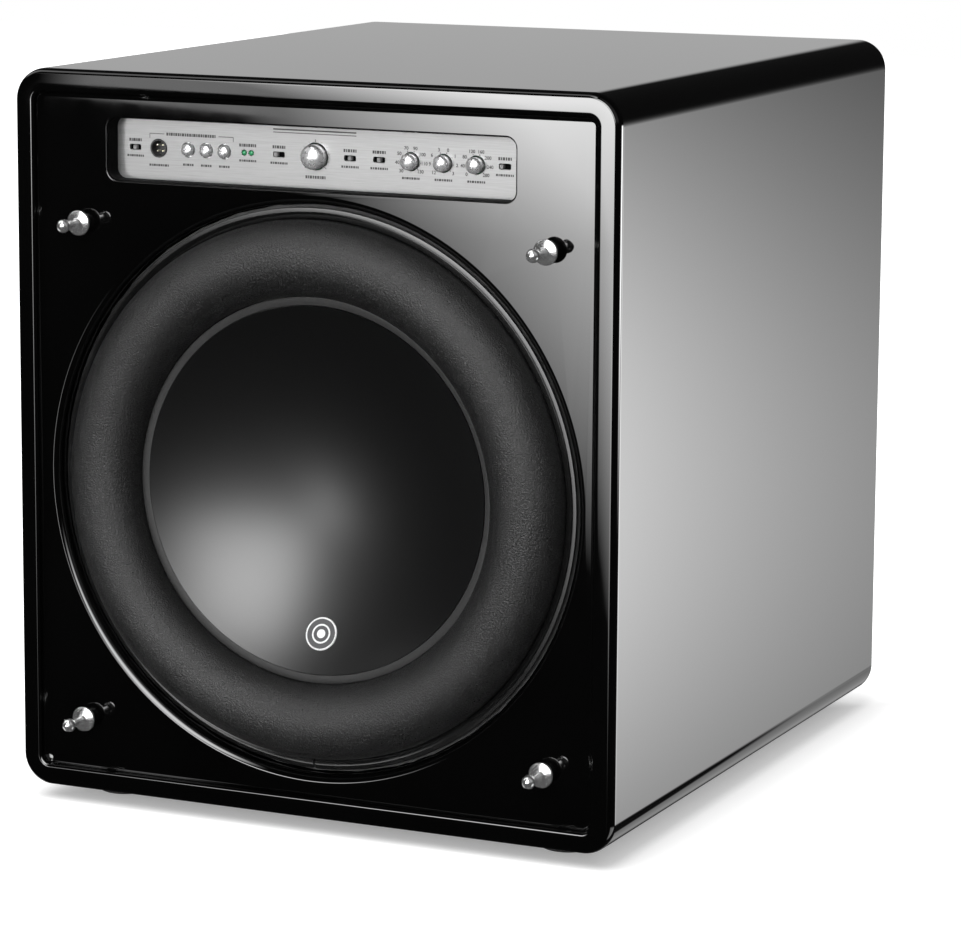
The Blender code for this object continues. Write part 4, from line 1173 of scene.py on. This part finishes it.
class Formula:
    """Short calls for the nodes that work out a strength from a place or a direction."""

    def __init__(self, tree, place):
        self.tree = tree
        coordinates = tree.nodes.new("ShaderNodeTexCoord")
        split = tree.nodes.new("ShaderNodeSeparateXYZ")
        tree.links.new(coordinates.outputs[place], split.inputs[0])
        self.x, self.y, self.z = split.outputs

    def put(self, value, socket):
        """Set a socket to a number, or link it to another socket."""
        if isinstance(value, (int, float)):
            socket.default_value = value
        else:
            self.tree.links.new(value, socket)

    def calc(self, operation, *values):
        step = self.tree.nodes.new("ShaderNodeMath")
        step.operation = operation
        for value, socket in zip(values, step.inputs):
            self.put(value, socket)
        return step.outputs[0]

    def slope(self, source, start, end, smooth=True, low=0.0, high=1.0):
        """Low before start, high after end; start and end may run either way."""
        step = feed(self.tree, "ShaderNodeMapRange", source, "Value", From_Min=start, From_Max=end,
                    To_Min=low, To_Max=high)
        step.interpolation_type = "SMOOTHSTEP" if smooth else "LINEAR"
        return step.outputs["Result"]

    def fold(self, operation, parts):
        result = parts[0]
        for part in parts[1:]:
            result = self.calc(operation, result, part)
        return result

    def product(self, *parts):
        return self.fold("MULTIPLY", parts)

    def total(self, *parts):
        return self.fold("ADD", parts)

    def bell(self, source, centre, width):
        """A bell curve."""
        offset = self.calc("DIVIDE", self.calc("SUBTRACT", source, centre), width)
        return self.calc("POWER", math.exp(-0.5), self.calc("MULTIPLY", offset, offset))


# Each soft box: its strength, then (measure, where it is dark, where it is full) for its soft edges.
# Directions are measured in degrees: azimuth from the front toward +X, elevation upwards, and climb,
# which is elevation as seen along X. Aside, upper and below are worked out from these and x, y, z.
SOFT_BOXES = {
    "front": (14.5, ("azimuth", -22, -12), ("azimuth", 34, 4), ("elevation", -2, 6), ("elevation", 50, 26)),
    "overhead": (8.0, ("azimuth", -46, -38), ("azimuth", -8, -16), ("elevation", 55, 61),
                 ("elevation", 80, 74)),
    "left": (1.6, ("azimuth", -56, -66), ("azimuth", -128, -112), ("elevation", 20, 30)),
    "right": (0.35, ("azimuth", 30, 45), ("azimuth", 110, 90), ("elevation", 4, 14)),
    "right edge": (14.0, ("azimuth", 128, 134), ("azimuth", 147, 141), ("elevation", -11.5, -7),
                   ("elevation", 0, -3)),
    "floor": (0.6, ("x", -0.25, -0.05), ("below", -1, 1), ("elevation", -14.5, -17), ("y", 0.2, 0.5)),
    "rear": (2.5, ("x", -0.3, 0.05), ("x", 0.26, 0.12), ("elevation", -15, -11), ("elevation", 9, 2),
             ("y", 0.5, 0.7)),
    "low sides": (2.0, ("aside", 0.55, 0.65), ("elevation", -17, -22), ("elevation", -55, -45),
                  ("y", 0.0, 0.2)),
    "backdrop": (0.55, ("elevation", 16, 9), ("elevation", -3, 0), ("y", 0.5, 0.7), ("x", 0.1, -0.1)),
}
# The two boxes that the baffle mirrors, of which the brighter shows.
BAFFLE_STRIP = (19.0, ("x", -0.29, -0.36), ("climb", 2, -3), ("y", 0.0, -0.2))
BAFFLE_FAINT = (3.1, ("upper", 0.0, 0.08), ("x", -0.512, -0.498), ("x", -0.38, -0.42), ("climb", 2, -3),
                ("y", 0.0, -0.2))
# The box that the right side mirrors: brightest at one elevation, and fading toward the back.
SIDE_BOX = (6.6, ("elevation", -18, -15.5), ("azimuth", 146, 150))
SIDE_BELL = (-10.5, 4.2)
SIDE_FADE_START = 155.5
SIDE_FADE = 0.77                  # left after each further degree of azimuth
DARK_ROOM = 0.02


def polished_light(sky):
    """What polished surfaces mirror: soft boxes in a dark room."""
    degrees = 180 / math.pi
    forward = sky.calc("MULTIPLY", sky.y, -1.0)
    elevation = sky.product(sky.calc("ARCSINE", sky.z), degrees)
    azimuth = sky.product(sky.calc("ARCTAN2", sky.x, forward), degrees)
    climb = sky.product(sky.calc("ARCTAN2", sky.z, forward), degrees)
    measures = {
        "x": sky.x,
        "y": sky.y,
        "aside": sky.calc("ABSOLUTE", sky.x),
        "azimuth": azimuth,
        "elevation": elevation,
        "climb": climb,
        "upper": sky.total(climb, sky.product(sky.x, 5.2), 8.484),
        "below": sky.total(elevation, sky.product(sky.x, -66.4), 36.0),
    }

    def box(strength, *edges):
        return sky.product(strength, *(sky.slope(measures[name], dark, full) for name, dark, full in edges))

    diagonal = sky.total(sky.x, sky.product(climb, 0.013), 0.5472)
    strip = sky.product(
        box(*BAFFLE_STRIP),
        sky.slope(diagonal, 0.0, 0.07, smooth=False),
        sky.slope(climb, -7.8, -5.4, smooth=False, low=0.58, high=1.0),
    )
    past = sky.calc("MAXIMUM", sky.calc("SUBTRACT", azimuth, SIDE_FADE_START), 0.0)
    side = sky.product(box(*SIDE_BOX), sky.bell(elevation, *SIDE_BELL), sky.calc("POWER", SIDE_FADE, past))
    boxes = [box(*row) for row in SOFT_BOXES.values()]
    return sky.total(sky.calc("MAXIMUM", strip, box(*BAFFLE_FAINT)), side, *boxes, DARK_ROOM)


MATT_LIGHT = 0.35                 # what surrounds matt surfaces


def make_surroundings():
    """White to the eye and even for matt surfaces; soft boxes on black for what is polished."""
    world = bpy.data.worlds.new("studio")
    world.use_nodes = True
    bpy.context.scene.world = world
    tree = world.node_tree
    tree.nodes.clear()
    sky = Formula(tree, "Generated")
    path = tree.nodes.new("ShaderNodeLightPath")
    output = tree.nodes.new("ShaderNodeOutputWorld")

    def glow(strength):
        background = tree.nodes.new("ShaderNodeBackground")
        background.inputs["Color"].default_value = WHITE
        sky.put(strength, background.inputs["Strength"])
        return background.outputs[0]

    def choose(ray, other, chosen):
        """One shader for a kind of ray, and another for the rest."""
        mix = tree.nodes.new("ShaderNodeMixShader")
        for source, socket in zip((path.outputs[ray], other, chosen), mix.inputs):
            tree.links.new(source, socket)
        return mix.outputs[0]

    seen = choose("Is Camera Ray", glow(MATT_LIGHT), glow(1.0))
    mirrored = choose("Is Glossy Ray", seen, glow(polished_light(sky)))
    tree.links.new(mirrored, output.inputs["Surface"])
    world.cycles.sampling_method = "NONE"


FLOOR_HALF = 6
FLOOR_COLOUR = (0.9, 0.9, 0.9, 1)
FLOOR_SHADE = (-0.05, 0.11)       # metres from the cabinet's footprint, where the shade starts and ends
FLOOR_GLOW = (0.3, 1.2)           # strength within the shade and beyond it


def make_floor():
    """A white floor that polished surfaces don't see, with a painted contact shadow round the cabinet's
    footprint.
    """
    form = bmesh.new()
    bmesh.ops.create_grid(form, x_segments=1, y_segments=1, size=FLOOR_HALF)
    mesh = bpy.data.meshes.new("floor")
    form.to_mesh(mesh)
    form.free()
    floor = bpy.data.objects.new("floor", mesh)
    bpy.context.scene.collection.objects.link(floor)
    shader = Shader("floor", roughness=1.0, specular=0.0)
    shader.set("Base Color", FLOOR_COLOUR)
    shader.set("Emission Color", WHITE)
    place = Formula(shader.tree, "Object")
    # The floor's emission is lower near the cabinet's footprint: a painted contact shadow.
    across = place.calc("SUBTRACT", place.calc("ABSOLUTE", place.x), WIDTH / 2)
    from_middle = place.calc("SUBTRACT", place.y, RIM_Y + DEPTH / 2)
    along = place.calc("SUBTRACT", place.calc("ABSOLUTE", from_middle), DEPTH / 2)
    distance = place.calc("MAXIMUM", across, along)
    near, far = FLOOR_GLOW
    shader.link(place.slope(distance, *FLOOR_SHADE, low=near, high=far), "Emission Strength")
    mesh.materials.append(shader.material)
    floor.visible_glossy = False


LIGHT_PLACE = (-0.3, -1.7, 2.8)
LIGHT_TARGET = (0, 0, 0.24)
LIGHT_SIZE = 3.0
LIGHT_POWER = 90


def make_light():
    """Soft key light from the upper left."""
    data = bpy.data.lights.new("key", "AREA")
    data.size = LIGHT_SIZE
    data.energy = LIGHT_POWER
    light = bpy.data.objects.new("key", data)
    light.location = LIGHT_PLACE
    light.visible_glossy = False
    direction = Vector(LIGHT_TARGET) - Vector(LIGHT_PLACE)
    light.rotation_euler = direction.to_track_quat("-Z", "Y").to_euler()
    bpy.context.scene.collection.objects.link(light)


finish_frame_nodes()
make_cabinet()
make_baffle()
make_window_lining()
make_pegs()
make_feet()
make_trim()
make_surround()
make_spider()
make_cone()
make_badge()
make_control_plate()
make_knobs()
make_buttons()
make_slides()
make_jack()
make_lamps()
make_print()
make_amp_plate()
make_amp_screws()
make_balanced_inputs()
make_line_inputs()
make_power_inlet()
make_camera()
make_surroundings()
make_floor()
make_light()
bpy.context.scene.view_settings.view_transform = "Standard"
